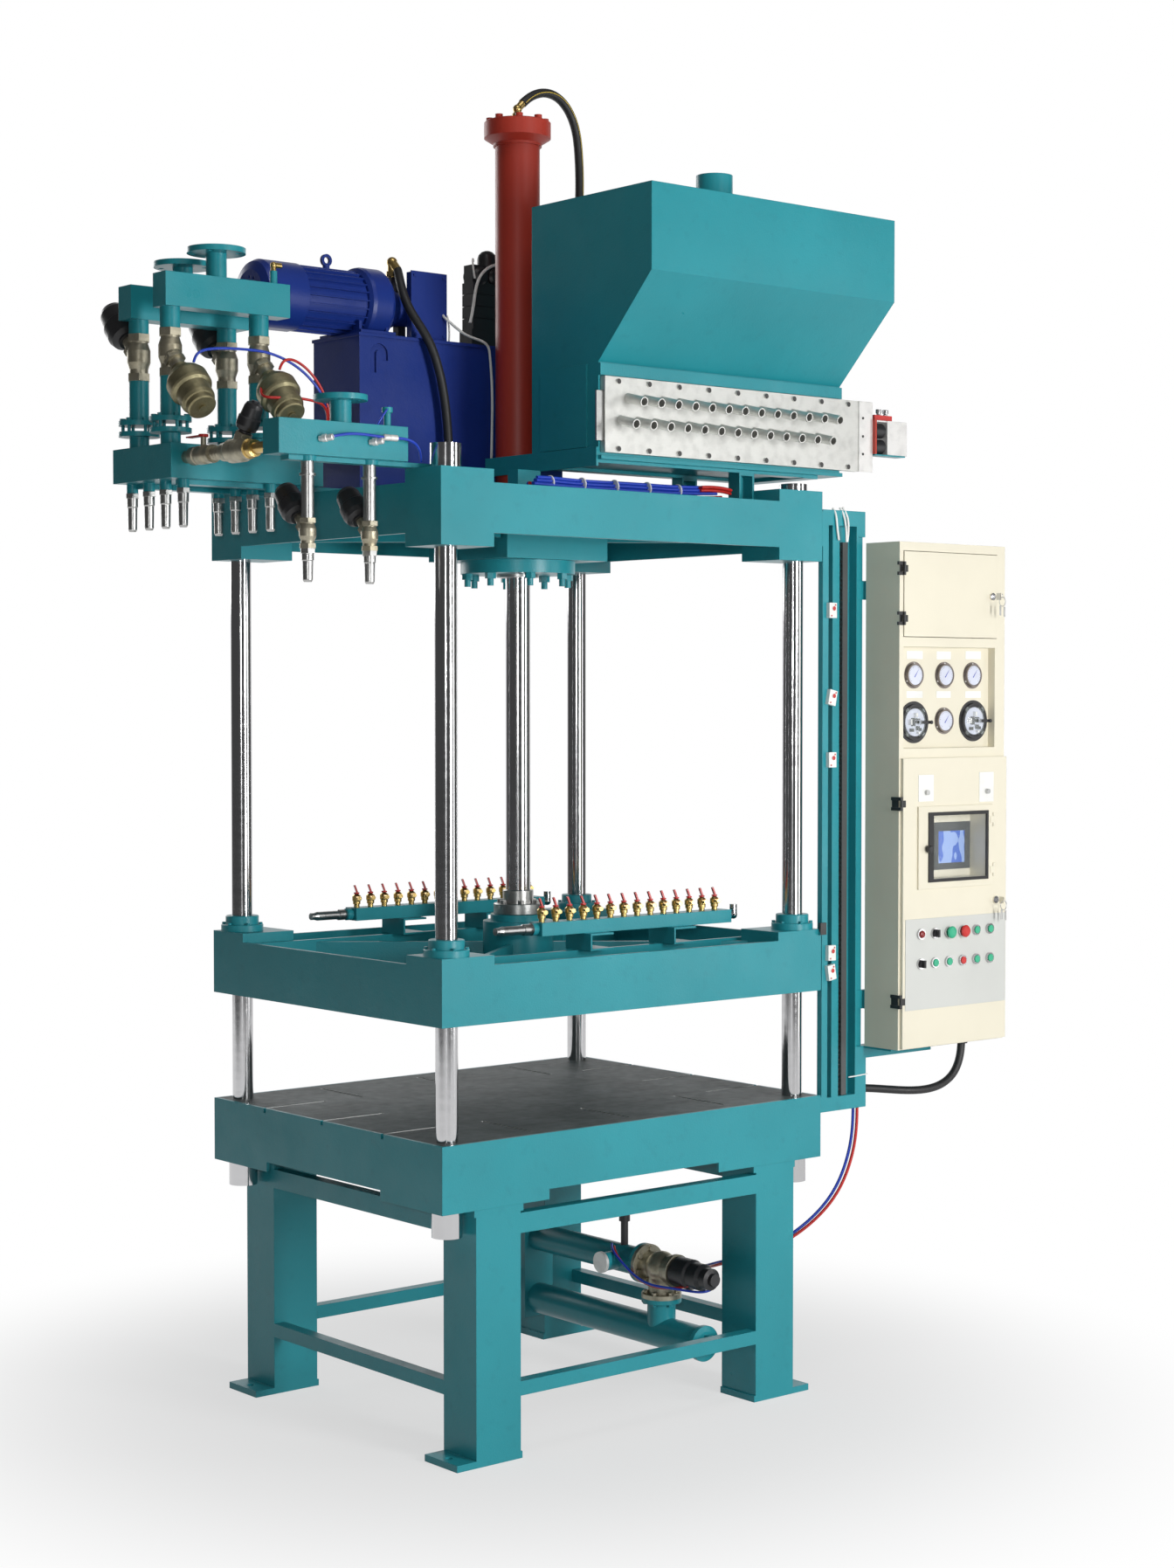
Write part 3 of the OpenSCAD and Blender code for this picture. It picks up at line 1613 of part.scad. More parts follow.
// Cam lock with its key, on the door skin at y.
module key_lock(x, y, z) {
  translate([x, y, z])
    rotate([90, 0, 0]) {
      translate([0, 0, -14])
        cylinder(r = 8, h = 14, $fn = 24);
      cylinder(r = 12, h = 5, $fn = 24);
      translate([-1, -4, 5])
        cube([2, 8, 16]);
      translate([-1.2, -11, 19])
        cube([2.4, 22, 18]);
    }
}

module upper_door() {
  y = [cab_y0 - 3, cab_y0 + door_t - 3];
  color(cream) {
    pan_door([high_door[0] + 2, high_door[1] - 2], y, [high_door[2] + 2, high_door[3] - 2], 2);
    for (z = high_hinge_z)
      translate([high_hinge[0], high_hinge[1], z])
        hinge_moving([1, 18], [y[0] - high_hinge[1] - 3, y[0] - high_hinge[1]]);
    key_lock(high_door[1] - 26, y[0], 1592);
  }
}

module button_centres() {
  for (i = [0 : 5], z = button_z)
    translate([button_x0 + i * button_pitch, button_y, z])
      children();
}

module lower_door() {
  y = [low_door_front, cab_y0 - 0.5];
  color(cream)
    difference() {
      union() {
        pan_door([low_door[0], low_door[1]], y, [low_door[2], low_door[3]], 2);
        for (z = low_hinge_z)
          translate([low_hinge[0], low_hinge[1], z])
            hinge_moving([1, 15], [low_door_front - low_hinge[1] - 2,
                       low_door_front - low_hinge[1]]);
        key_lock(1392, low_door_front, 601);
        // hinge posts of the window
        for (z = window_hinge_z)
          translate([window_hinge[0], window_hinge[1], z])
            hinge_fixed([1, 13], [-2, low_door_front - window_hinge[1]]);
        // small cover plates with their knobs
        for (p = [[1057, 974, 70, 85], [1345, 972, 69, 97]])
          translate([p[0], low_door_front, p[1]]) {
            block([-p[2] / 2, p[2] / 2], [-2, 0], [-p[3] / 2, p[3] / 2]);
            translate([0, -2, -14])
              rotate([90, 0, 0])
                cylinder(r = 8, h = 10, $fn = 24);
          }
        // pocket behind the window
        block(pocket_x, [low_door_front + 1, pocket_y], pocket_z);
      }
      block([pocket_x[0] + 3, pocket_x[1] - 3], [low_door_front - 1, pocket_y - 3],
         [pocket_z[0] + 3, pocket_z[1] - 3]);
      block([screen_x[0] + 6, screen_x[1] - 6], [pocket_y - 4, pocket_y + 1],
         [screen_z[0] + 6, screen_z[1] - 6]);
      button_centres()
        translate([0, -1, 0])
          along_y()
            cylinder(r = 11, h = 6, $fn = 24);
    }
}

module button_panel() {
  color(steel)
    difference() {
      block([panel_sheet_x[0], panel_sheet_x[1]], [button_y, low_door_front],
         [panel_sheet_z[0], panel_sheet_z[1]]);
      button_centres()
        translate([0, -1, 0])
          along_y()
            cylinder(r = 11, h = 6, $fn = 24);
    }
  // bezels with their contact blocks behind the door
  color(black)
    button_centres()
      difference() {
        union() {
          rotate([90, 0, 0])
            cylinder(r = 17, h = 8, $fn = 32);
          along_y()
            cylinder(r = 10.8, h = 8, $fn = 24);
          block([-20, 20], [6, 40], [-14, 14]);
        }
        translate([0, -9, 0])
          along_y()
            cylinder(r = 12.5, h = 9.5, $fn = 32);
        along_y()
          cylinder(r = button_stem_r + fit, h = 32, $fn = 24);
      }
  // red pilot lamp
  color(scarlet)
    translate([button_x0, button_y, button_z[0]])
      rotate([90, 0, 0])
        translate([0, 0, -1])
          turned([[12, 0], [12, 10], [10, 14], [5, 16]]);
}

module button_stem(back) {
  translate([0, back, 0])
    along_y()
      cylinder(r = button_stem_r, h = 24 - back, $fn = 24);
}

module push_button(i, row, tone) {
  color(tone)
    translate([button_x0 + i * button_pitch, button_y, button_z[row]]) {
      translate([0, -5.6, 0])
        rotate([90, 0, 0])
          turned([[12, 0], [12, 4.5], [11, 5.5]]);
      button_stem(-5.6);
    }
}

module mushroom_button(i, row, tone) {
  color(tone)
    translate([button_x0 + i * button_pitch, button_y, button_z[row]]) {
      translate([0, -14, 0])
        rotate([90, 0, 0])
          turned([[18, 0], [19.5, 2], [19.5, 5], [16, 9], [9, 11]]);
      button_stem(-14);
    }
}

module selector(i, row) {
  color(black)
    translate([button_x0 + i * button_pitch, button_y, button_z[row]]) {
      translate([0, -2, 0])
        rotate([90, 0, 0])
          cylinder(r = 12, h = 10, $fn = 32);
      block([-3.5, 3.5], [-24, -11], [-12, 12]);
      button_stem(-3);
    }
}

module top_selector()
  selector(1, 0);

module low_selector()
  selector(0, 1);

module green_mushroom()
  mushroom_button(2, 0, green);

module red_mushroom()
  mushroom_button(3, 0, scarlet);

module green_button_1()
  push_button(4, 0, green);

module green_button_2()
  push_button(5, 0, green);

module green_button_3()
  push_button(1, 1, green);

module green_button_4()
  push_button(2, 1, green);

module red_button()
  push_button(3, 1, scarlet);

module green_button_5()
  push_button(4, 1, green);

module green_button_6()
  push_button(5, 1, green);

module touch_screen() {
  x = screen_x;
  z = screen_z;
  y = pocket_y - 3;
  color(black) {
    difference() {
      block(x, [y - 4, y], z);
      block([x[0] + 18, x[1] - 26], [y - 5, y - 2.5], [z[0] + 21, z[1] - 29]);
    }
    block([x[0] + 7, x[1] - 7], [y, y + 46], [z[0] + 7, z[1] - 7]);
    // function keys
    for (i = [0 : 4])
      block([x[1] - 20, x[1] - 8], [y - 5, y - 4], [z[0] + 25 + i * 24, z[0] + 37 + i * 24]);
  }
}

module window_door() {
  y1 = low_door_front - 0.5;
  y0 = y1 - window_t;
  color(cream) {
    difference() {
      pan_door([window_x[0], window_x[1]], [y0, y1], [window_z[0], window_z[1]], 2);
      block([pane_x[0] - 6, pane_x[1] + 6], [y0 - 1, y0 + 6.6], [pane_z[0] - 6, pane_z[1] + 6]);
    }
    for (z = window_hinge_z)
      translate([window_hinge[0], window_hinge[1], z])
        hinge_moving([-18, -1], [y0 - window_hinge[1] - 2, y0 - window_hinge[1] + 3]);
  }
  // rubber frame and pane
  color(black)
    difference() {
      block([pane_x[0] - 23, pane_x[1] + 10], [y0 - 4, y0 + 2.5], [pane_z[0] - 10, pane_z[1] + 11]);
      block([pane_x[0], pane_x[1]], [y0 - 6, y0 + 4], [pane_z[0], pane_z[1]]);
    }
  color(grey)
    block([pane_x[0] - 6, pane_x[1] + 6], [y0 + 1, y0 + 4], [pane_z[0] - 6, pane_z[1] + 6]);
  color(black)
    translate([1057, y0, 780])
      rotate([90, 0, 0])
        turned([[7, 0], [7, 5], [12, 6], [12, 17], [9, 20]]);
}

module gauge(r, deep) {
  rotate([90, 0, 0]) {
    turned([[r, 0], [r, 3], [r * 0.86, 3], [r * 0.86, deep], [r * 0.8, deep + 4]], 48);
    translate([0, 0, deep + 4])
      ring(r * 0.86, r * 0.76, 3, 48);
  }
}

module gauges() {
  small = [[1041, 1335], [1185, 1335], [1319, 1335], [1184, 1188]];
  large = [[1042, 1184], [1324, 1187]];
  color(steel)
    for (p = small)
      translate([p[0], gauge_y, p[1]])
        gauge(43, 4);
  color(black)
    for (p = large)
      translate([p[0], gauge_y, p[1]]) {
        gauge(67, 3);
        rotate([90, 0, 0])
          translate([0, 0, 6])
            turned([[46, 0], [43, 8], [30, 15], [8, 18], [8, 26]], 40);
        // setting arm
        block([0, 56], [-26, -20], [-5, 5]);
      }
}

module cabinet_conduit() {
  color(black)
    swept_tube(conduit_route, conduit_r, 10, [0, 1, 0.05]);
}

module air_tubes() {
  color(scarlet)
    swept_tube(tube_route, air_tube_r, 8, [0.3, 1, 0.05]);
  color(blue)
    swept_tube([for (p = tube_route) p + tube_offset], air_tube_r, 8, [0.3, 1, 0.05]);
  // bundle lying on the deck under the hopper
  color(scarlet)
    swept_tube(deck_tubes, air_tube_r, 8);
  color(blue)
    swept_tube([for (p = deck_tubes) p + [4, 12, 0]], air_tube_r, 8);
}

leg_frame();
table_frame();
table_plate();
columns();
column_nuts();
top_platen();
cylinder_flange();
cylinder_barrel();
cylinder_cap();
oil_tank();
motor();
pump();
electric_box();
valve_stack();
brass_fittings();
oil_hoses();
hopper();
hopper_supports();
filler_panel();
gate_cylinders();
upper_manifolds();
lower_manifold();
front_manifold();
hose_tails();
angle_valves();
steam_actuators();
air_actuators();
cross_pipe();
drain_pipes();
rail_frame();
wiring_duct();
limit_switches();
cabinet_body();
gauges();
cabinet_conduit();
air_tubes();
moving_platen();
guide_bushes();
piston_rod();
rod_flange();
valve_bars();
bar_valves();
bar_levers();
slide_gate();
upper_door();
lower_door();
button_panel();
touch_screen();
window_door();
top_selector();
low_selector();
green_mushroom();
red_mushroom();
green_button_1();
green_button_2();
green_button_3();
green_button_4();
red_button();
green_button_5();
green_button_6();
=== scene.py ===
"""Looks of the foam shape moulding machine: materials, flexible lines and fine detail.

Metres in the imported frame, with X to the right along the operator's side, Y to the back and Z up.
Places on a part that are written as whole numbers are millimetres, and MM turns them into metres.
"""

import json
import math

import bmesh
import bpy
from mathutils import Matrix, Vector


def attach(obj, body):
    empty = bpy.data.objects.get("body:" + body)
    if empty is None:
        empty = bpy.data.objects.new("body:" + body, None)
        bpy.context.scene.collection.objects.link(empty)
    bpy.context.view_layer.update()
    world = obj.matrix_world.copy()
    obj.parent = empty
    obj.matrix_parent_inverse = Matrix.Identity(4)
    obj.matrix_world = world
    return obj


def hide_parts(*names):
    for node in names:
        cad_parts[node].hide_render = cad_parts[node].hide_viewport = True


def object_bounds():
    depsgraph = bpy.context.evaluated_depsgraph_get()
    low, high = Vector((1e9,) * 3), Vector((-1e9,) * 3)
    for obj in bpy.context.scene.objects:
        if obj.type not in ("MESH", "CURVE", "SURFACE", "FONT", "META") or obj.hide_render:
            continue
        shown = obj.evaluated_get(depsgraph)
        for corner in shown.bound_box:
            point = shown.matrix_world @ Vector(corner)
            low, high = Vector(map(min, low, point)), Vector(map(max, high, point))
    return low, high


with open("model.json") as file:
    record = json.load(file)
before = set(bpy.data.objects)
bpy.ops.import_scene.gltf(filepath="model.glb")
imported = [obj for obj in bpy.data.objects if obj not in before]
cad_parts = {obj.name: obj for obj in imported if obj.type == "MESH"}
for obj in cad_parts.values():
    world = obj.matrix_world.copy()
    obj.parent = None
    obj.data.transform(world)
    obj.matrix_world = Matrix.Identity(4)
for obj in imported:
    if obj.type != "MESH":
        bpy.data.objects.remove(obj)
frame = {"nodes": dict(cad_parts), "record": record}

MM = 0.001
cad_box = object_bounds()
nodes = frame["nodes"]


# ---------- Camera, light and backdrop ----------

CAMERA_AT = (-5.1632, -6.5010, 1.2731)
CAMERA_YAW = 39.96  # degrees from +Y towards +X
CAMERA_PITCH = -1.95  # degrees above the horizontal
CAMERA_LENS = 60.39  # millimetres, for the sensor width below
SENSOR_WIDTH = 36
CAMERA_REACH = 60

# Name, place, aim, width and height, watts
LAMPS = [
    ("key", (0.8, -6.4, 1.3), (0.2, 0, 1.1), (1.2, 2.6), 262),
    ("flash", (-5.45, -6.65, 1.55), (0.1, 0, 0.9), (0.16, 0.16), 75),
    ("strip", (-6.6, -8.2, 1.2), (0, 0, 1.0), (0.5, 5.0), 20),
    ("side_box", (5.6, -6.2, 1.5), (0.6, -0.4, 1.5), (2.0, 4.4), 92),
    ("top", (-1.0, -2.5, 6.5), (0, 0, 1.0), (3.0, 2.0), 60),
    ("back_fill", (-0.3, 6.4, 3.2), (0, 0, 1.1), (3.2, 3.0), 100),
]

FLOOR_FROM, FLOOR_TO = -9, 11
FLOOR_COLOUR = (0.60, 0.60, 0.60, 1)
WHITE = (1, 1, 1, 1)
# Distances from the middle of the machine between which the floor turns to white
FADE_FROM, FADE_TO = 1.2, 2.6
# Share of white in the floor next to the legs
NEAR_WHITE = 0.62

ROOM_STRENGTH = 0.12
ROOM_LOW = (0.35, 0.36, 0.38, 1)
# Direction of the backdrop, and how well a mirrored ray has to agree with it to see none or all of it
BACKDROP_WAY = (0.64, 0.77, 0)
BACKDROP_NONE, BACKDROP_ALL = 0.55, 0.85


def add_node(tree, kind, operation=None, **values):
    """A new node, with values for its inputs by their names, in which _ stands for a space."""
    node = tree.nodes.new(kind)
    if operation:
        node.operation = operation
    for key, value in values.items():
        node.inputs[key.replace("_", " ")].default_value = value
    return node


def make_camera():
    data = bpy.data.cameras.new("camera")
    data.sensor_width = SENSOR_WIDTH
    data.lens = CAMERA_LENS
    data.clip_end = CAMERA_REACH
    camera = bpy.data.objects.new("camera", data)
    camera.location = CAMERA_AT
    camera.rotation_euler = (math.radians(90 + CAMERA_PITCH), 0, math.radians(-CAMERA_YAW))
    bpy.context.scene.collection.objects.link(camera)
    bpy.context.scene.camera = camera


def make_light():
    for name, at, target, size, power in LAMPS:
        data = bpy.data.lights.new(name, "AREA")
        data.shape = "RECTANGLE"
        data.size, data.size_y = size
        data.energy = power
        lamp = bpy.data.objects.new(name, data)
        lamp.location = at
        aim = Vector(target) - Vector(at)
        lamp.rotation_euler = aim.to_track_quat("-Z", "Y").to_euler()
        bpy.context.scene.collection.objects.link(lamp)


def seen_white(tree):
    """1 for rays from the camera, a mirror or glass, so that these see a white backdrop."""
    path = add_node(tree, "ShaderNodeLightPath")
    total = path.outputs["Is Camera Ray"]
    for kind in ("Is Glossy Ray", "Is Transmission Ray"):
        add = add_node(tree, "ShaderNodeMath", "ADD")
        add.use_clamp = True
        tree.links.new(total, add.inputs[0])
        tree.links.new(path.outputs[kind], add.inputs[1])
        total = add.outputs[0]
    return total


def make_floor():
    """Plain pale floor that keeps the shadow near the legs and fades to the white backdrop."""
    data = bpy.data.meshes.new("floor")
    z = cad_box[0][2]
    low, high = FLOOR_FROM, FLOOR_TO
    corners = [(low, low, z), (high, low, z), (high, high, z), (low, high, z)]
    data.from_pydata(corners, [], [(0, 1, 2, 3)])
    floor = bpy.data.objects.new("floor", data)
    bpy.context.scene.collection.objects.link(floor)
    material = bpy.data.materials.new("pale_floor")
    material.use_nodes = True
    tree = material.node_tree
    tree.nodes.clear()
    out = add_node(tree, "ShaderNodeOutputMaterial")
    mix = add_node(tree, "ShaderNodeMixShader")
    lit = add_node(tree, "ShaderNodeBsdfDiffuse", Color=FLOOR_COLOUR)
    glow = add_node(tree, "ShaderNodeEmission", Color=WHITE, Strength=1.0)
    coord = add_node(tree, "ShaderNodeTexCoord")
    length = add_node(tree, "ShaderNodeVectorMath", "LENGTH")
    fade = add_node(tree, "ShaderNodeMapRange", From_Min=FADE_FROM, From_Max=FADE_TO,
                    To_Min=NEAR_WHITE, To_Max=1.0)
    fade.interpolation_type = "SMOOTHSTEP"
    gain = add_node(tree, "ShaderNodeMath", "MULTIPLY")
    tree.links.new(coord.outputs["Object"], length.inputs[0])
    tree.links.new(length.outputs["Value"], fade.inputs["Value"])
    tree.links.new(fade.outputs["Result"], gain.inputs[0])
    tree.links.new(seen_white(tree), gain.inputs[1])
    tree.links.new(gain.outputs[0], mix.inputs[0])
    tree.links.new(lit.outputs[0], mix.inputs[1])
    tree.links.new(glow.outputs[0], mix.inputs[2])
    tree.links.new(mix.outputs[0], out.inputs["Surface"])
    data.materials.append(material)


def make_world():
    """White for the camera, a dim room for the light, and white for mirrors only where the
    backdrop hangs, behind the object."""
    world = bpy.data.worlds.new("studio")
    bpy.context.scene.world = world
    world.use_nodes = True
    tree = world.node_tree
    tree.nodes.clear()
    out = add_node(tree, "ShaderNodeOutputWorld")
    mix = add_node(tree, "ShaderNodeMixShader")
    white = add_node(tree, "ShaderNodeBackground", Color=WHITE, Strength=1.0)
    room = add_node(tree, "ShaderNodeBackground", Strength=ROOM_STRENGTH)
    ramp = add_node(tree, "ShaderNodeValToRGB")
    ramp.color_ramp.elements[0].position = 0.0
    ramp.color_ramp.elements[0].color = ROOM_LOW
    ramp.color_ramp.elements[1].position = 1.0
    ramp.color_ramp.elements[1].color = WHITE
    coord = add_node(tree, "ShaderNodeTexCoord")
    split = add_node(tree, "ShaderNodeSeparateXYZ")
    remap = add_node(tree, "ShaderNodeMapRange", From_Min=-1)
    tree.links.new(coord.outputs["Generated"], split.inputs[0])
    tree.links.new(split.outputs["Z"], remap.inputs["Value"])
    tree.links.new(remap.outputs["Result"], ramp.inputs["Fac"])
    tree.links.new(ramp.outputs["Color"], room.inputs["Color"])
    tree.links.new(room.outputs[0], mix.inputs[1])
    tree.links.new(white.outputs[0], mix.inputs[2])
    tree.links.new(mix.outputs[0], out.inputs["Surface"])
    path = add_node(tree, "ShaderNodeLightPath")
    agree = add_node(tree, "ShaderNodeVectorMath", "DOT_PRODUCT")
    agree.inputs[1].default_value = BACKDROP_WAY
    hung = add_node(tree, "ShaderNodeMapRange", From_Min=BACKDROP_NONE, From_Max=BACKDROP_ALL)
    hung.interpolation_type = "SMOOTHSTEP"
    either = add_node(tree, "ShaderNodeMath", "MAXIMUM")
    share = add_node(tree, "ShaderNodeMath", "MULTIPLY")
    tree.links.new(coord.outputs["Generated"], agree.inputs[0])
    tree.links.new(agree.outputs["Value"], hung.inputs["Value"])
    tree.links.new(seen_white(tree), share.inputs[0])
    tree.links.new(hung.outputs["Result"], share.inputs[1])
    tree.links.new(path.outputs["Is Camera Ray"], either.inputs[0])
    tree.links.new(share.outputs[0], either.inputs[1])
    tree.links.new(either.outputs[0], mix.inputs[0])


# ---------- Materials ----------

class Shader:
    """A Principled material built up step by step from procedural textures, in metres of the frame."""

    def __init__(self, name, colour, rough, metal=0.0):
        self.material = bpy.data.materials.new(name)
        self.material.use_nodes = True
        self.tree = self.material.node_tree
        self.main = self.tree.nodes["Principled BSDF"]
        self.main.inputs["Base Color"].default_value = (*colour, 1)
        self.main.inputs["Roughness"].default_value = rough
        self.main.inputs["Metallic"].default_value = metal
        self.material.diffuse_color = (*colour, 1)
        self.coord = add_node(self.tree, "ShaderNodeTexCoord").outputs["Object"]
        self.colour = None
        self.normal = None

    def link(self, a, b):
        self.tree.links.new(a, b)

    def noise(self, scale, detail=2.0, stretch=None):
        noise = add_node(self.tree, "ShaderNodeTexNoise", Scale=scale, Detail=detail)
        if stretch:
            mapping = add_node(self.tree, "ShaderNodeMapping", Scale=stretch)
            self.link(self.coord, mapping.inputs["Vector"])
            self.link(mapping.outputs[0], noise.inputs["Vector"])
        else:
            self.link(self.coord, noise.inputs["Vector"])
        return noise.outputs["Fac"]

    def ramp(self, source, low, high):
        """0 below low, 1 above high."""
        remap = add_node(self.tree, "ShaderNodeMapRange", From_Min=low, From_Max=high)
        self.link(source, remap.inputs["Value"])
        return remap.outputs["Result"]

    def tint(self, mask, colour, amount=1.0):
        """Mixes colour over what the material has so far, where the mask is 1."""
        mix = add_node(self.tree, "ShaderNodeMix")
        mix.data_type = "RGBA"
        share, under, over = (mix.inputs[i] for i in (0, 6, 7))
        if self.colour:
            self.link(self.colour, under)
        else:
            under.default_value = self.main.inputs["Base Color"].default_value
        over.default_value = (*colour, 1)
        gain = add_node(self.tree, "ShaderNodeMath", "MULTIPLY")
        gain.inputs[1].default_value = amount
        self.link(mask, gain.inputs[0])
        self.link(gain.outputs[0], share)
        self.colour = mix.outputs[2]
        self.link(self.colour, self.main.inputs["Base Color"])

    def roughen(self, mask, low, high):
        """Roughness from low to high as the mask goes from 0 to 1."""
        remap = add_node(self.tree, "ShaderNodeMapRange", To_Min=low, To_Max=high)
        self.link(mask, remap.inputs["Value"])
        self.link(remap.outputs["Result"], self.main.inputs["Roughness"])

    def bump(self, mask, depth, strength=1.0):
        """Relief of that depth in metres, on top of what the surface has so far."""
        bump = add_node(self.tree, "ShaderNodeBump", Strength=strength, Distance=depth)
        self.link(mask, bump.inputs["Height"])
        if self.normal:
            self.link(self.normal, bump.inputs["Normal"])
        self.normal = bump.outputs["Normal"]
        self.link(self.normal, self.main.inputs["Normal"])

    def round_edges(self, radius):
        """Edges catch the light as if they were rounded. Called before any bump."""
        bevel = add_node(self.tree, "ShaderNodeBevel", Radius=radius)
        bevel.samples = 4
        self.normal = bevel.outputs["Normal"]
        self.link(self.normal, self.main.inputs["Normal"])


def darker(colour, factor):
    return tuple(c * factor for c in colour)


def orange_peel_paint(name, colour, rough=0.30):
    """Thick gloss paint with slow waves, orange peel and uneven shade."""
    s = Shader(name, colour, rough)
    s.main.inputs["Specular IOR Level"].default_value = 0.38
    s.round_edges(0.0018)
    s.tint(s.ramp(s.noise(2.2, 4), 0.35, 0.75), darker(colour, 0.76), 0.6)
    s.tint(s.ramp(s.noise(26, 5), 0.58, 0.85), darker(colour, 0.62), 0.35)
    s.roughen(s.noise(9, 3), rough - 0.08, rough + 0.16)
    s.bump(s.noise(16, 2), 0.0014, 0.45)
    s.bump(s.noise(190, 2), 0.00045, 0.85)
    return s.material


def smooth_paint(name, colour, rough):
    """Even semi-gloss paint with a very fine grain."""
    s = Shader(name, colour, rough)
    s.round_edges(0.0012)
    s.tint(s.ramp(s.noise(3, 4), 0.4, 0.8), darker(colour, 0.88), 0.5)
    s.roughen(s.noise(12, 3), rough - 0.06, rough + 0.12)
    s.bump(s.noise(420, 2), 0.00012, 0.5)
    return s.material


def turned_metal(name, colour, rough, stretch, metal=1.0):
    """Metal with fine tool marks, long along the axes where stretch is small."""
    s = Shader(name, colour, rough, metal)
    s.round_edges(0.0010)
    s.tint(s.ramp(s.noise(30, 4), 0.45, 0.75), darker(colour, 0.6), 0.4)
    s.roughen(s.noise(60, 3, stretch), rough * 0.6, rough * 1.6)
    s.bump(s.noise(160, 2, stretch), 0.00015, 0.4)
    return s.material


def cast_metal(name, colour, rough):
    """Rough cast metal with dark and brownish patches."""
    s = Shader(name, colour, rough, 0.85)
    s.round_edges(0.0012)
    s.tint(s.ramp(s.noise(40, 5), 0.4, 0.7), darker(colour, 0.45), 0.6)
    s.tint(s.ramp(s.noise(9, 3), 0.5, 0.8), (0.42, 0.34, 0.16), 0.3)
    s.roughen(s.noise(80, 3), rough - 0.1, rough + 0.25)
    s.bump(s.noise(300, 3), 0.0004, 0.5)
    return s.material


def plastic(name, colour, rough=0.4, grain=0.0001):
    """Moulded plastic or rubber, its grain a depth in metres."""
    s = Shader(name, colour, rough)
    s.round_edges(0.0008)
    s.tint(s.ramp(s.noise(14, 3), 0.45, 0.8), darker(colour, 0.7), 0.4)
    s.roughen(s.noise(50, 3), rough - 0.08, rough + 0.12)
    s.bump(s.noise(900, 2), grain, 0.5)
    return s.material


def chrome_metal(name):
    """Hard chrome with faint rings and a thin oil film."""
    s = Shader(name, (0.54, 0.54, 0.55), 0.12, 1.0)
    s.tint(s.ramp(s.noise(5, 3, (1, 1, 0.15)), 0.50, 0.75), (0.38, 0.37, 0.36), 0.4)
    s.roughen(s.ramp(s.noise(14, 2, (1, 1, 4)), 0.3, 0.8), 0.10, 0.17)
    s.bump(s.noise(50, 1, (0.1, 0.1, 8)), 0.00002, 0.3)
    return s.material


def machined_plate(name):
    """Dark ground steel with milling marks, oil stains and scratches."""
    s = Shader(name, (0.070, 0.085, 0.085), 0.50, 0.35)
    s.tint(s.ramp(s.noise(5, 6), 0.40, 0.7), (0.155, 0.175, 0.175), 0.7)
    s.tint(s.ramp(s.noise(3, 3, (1, 6, 1)), 0.5, 0.8), (0.035, 0.04, 0.04), 0.6)
    s.roughen(s.noise(30, 4), 0.42, 0.7)
    s.bump(s.noise(90, 3, (1, 12, 1)), 0.0003, 0.5)
    return s.material


def clear_pane(name, alpha):
    """Thin clear plastic."""
    s = Shader(name, (0.80, 0.88, 0.88), 0.06)
    s.main.inputs["Alpha"].default_value = alpha
    return s.material


def lit_display(name):
    """Switched-on screen of plain blue fields."""
    s = Shader(name, (0.02, 0.09, 0.45), 0.25)
    s.tint(s.ramp(s.noise(34, 0, (1, 1, 0.6)), 0.52, 0.54), (0.45, 0.60, 0.80), 0.45)
    s.link(s.colour, s.main.inputs["Emission Color"])
    s.main.inputs["Emission Strength"].default_value = 0.35
    return s.material


MATERIALS = {}


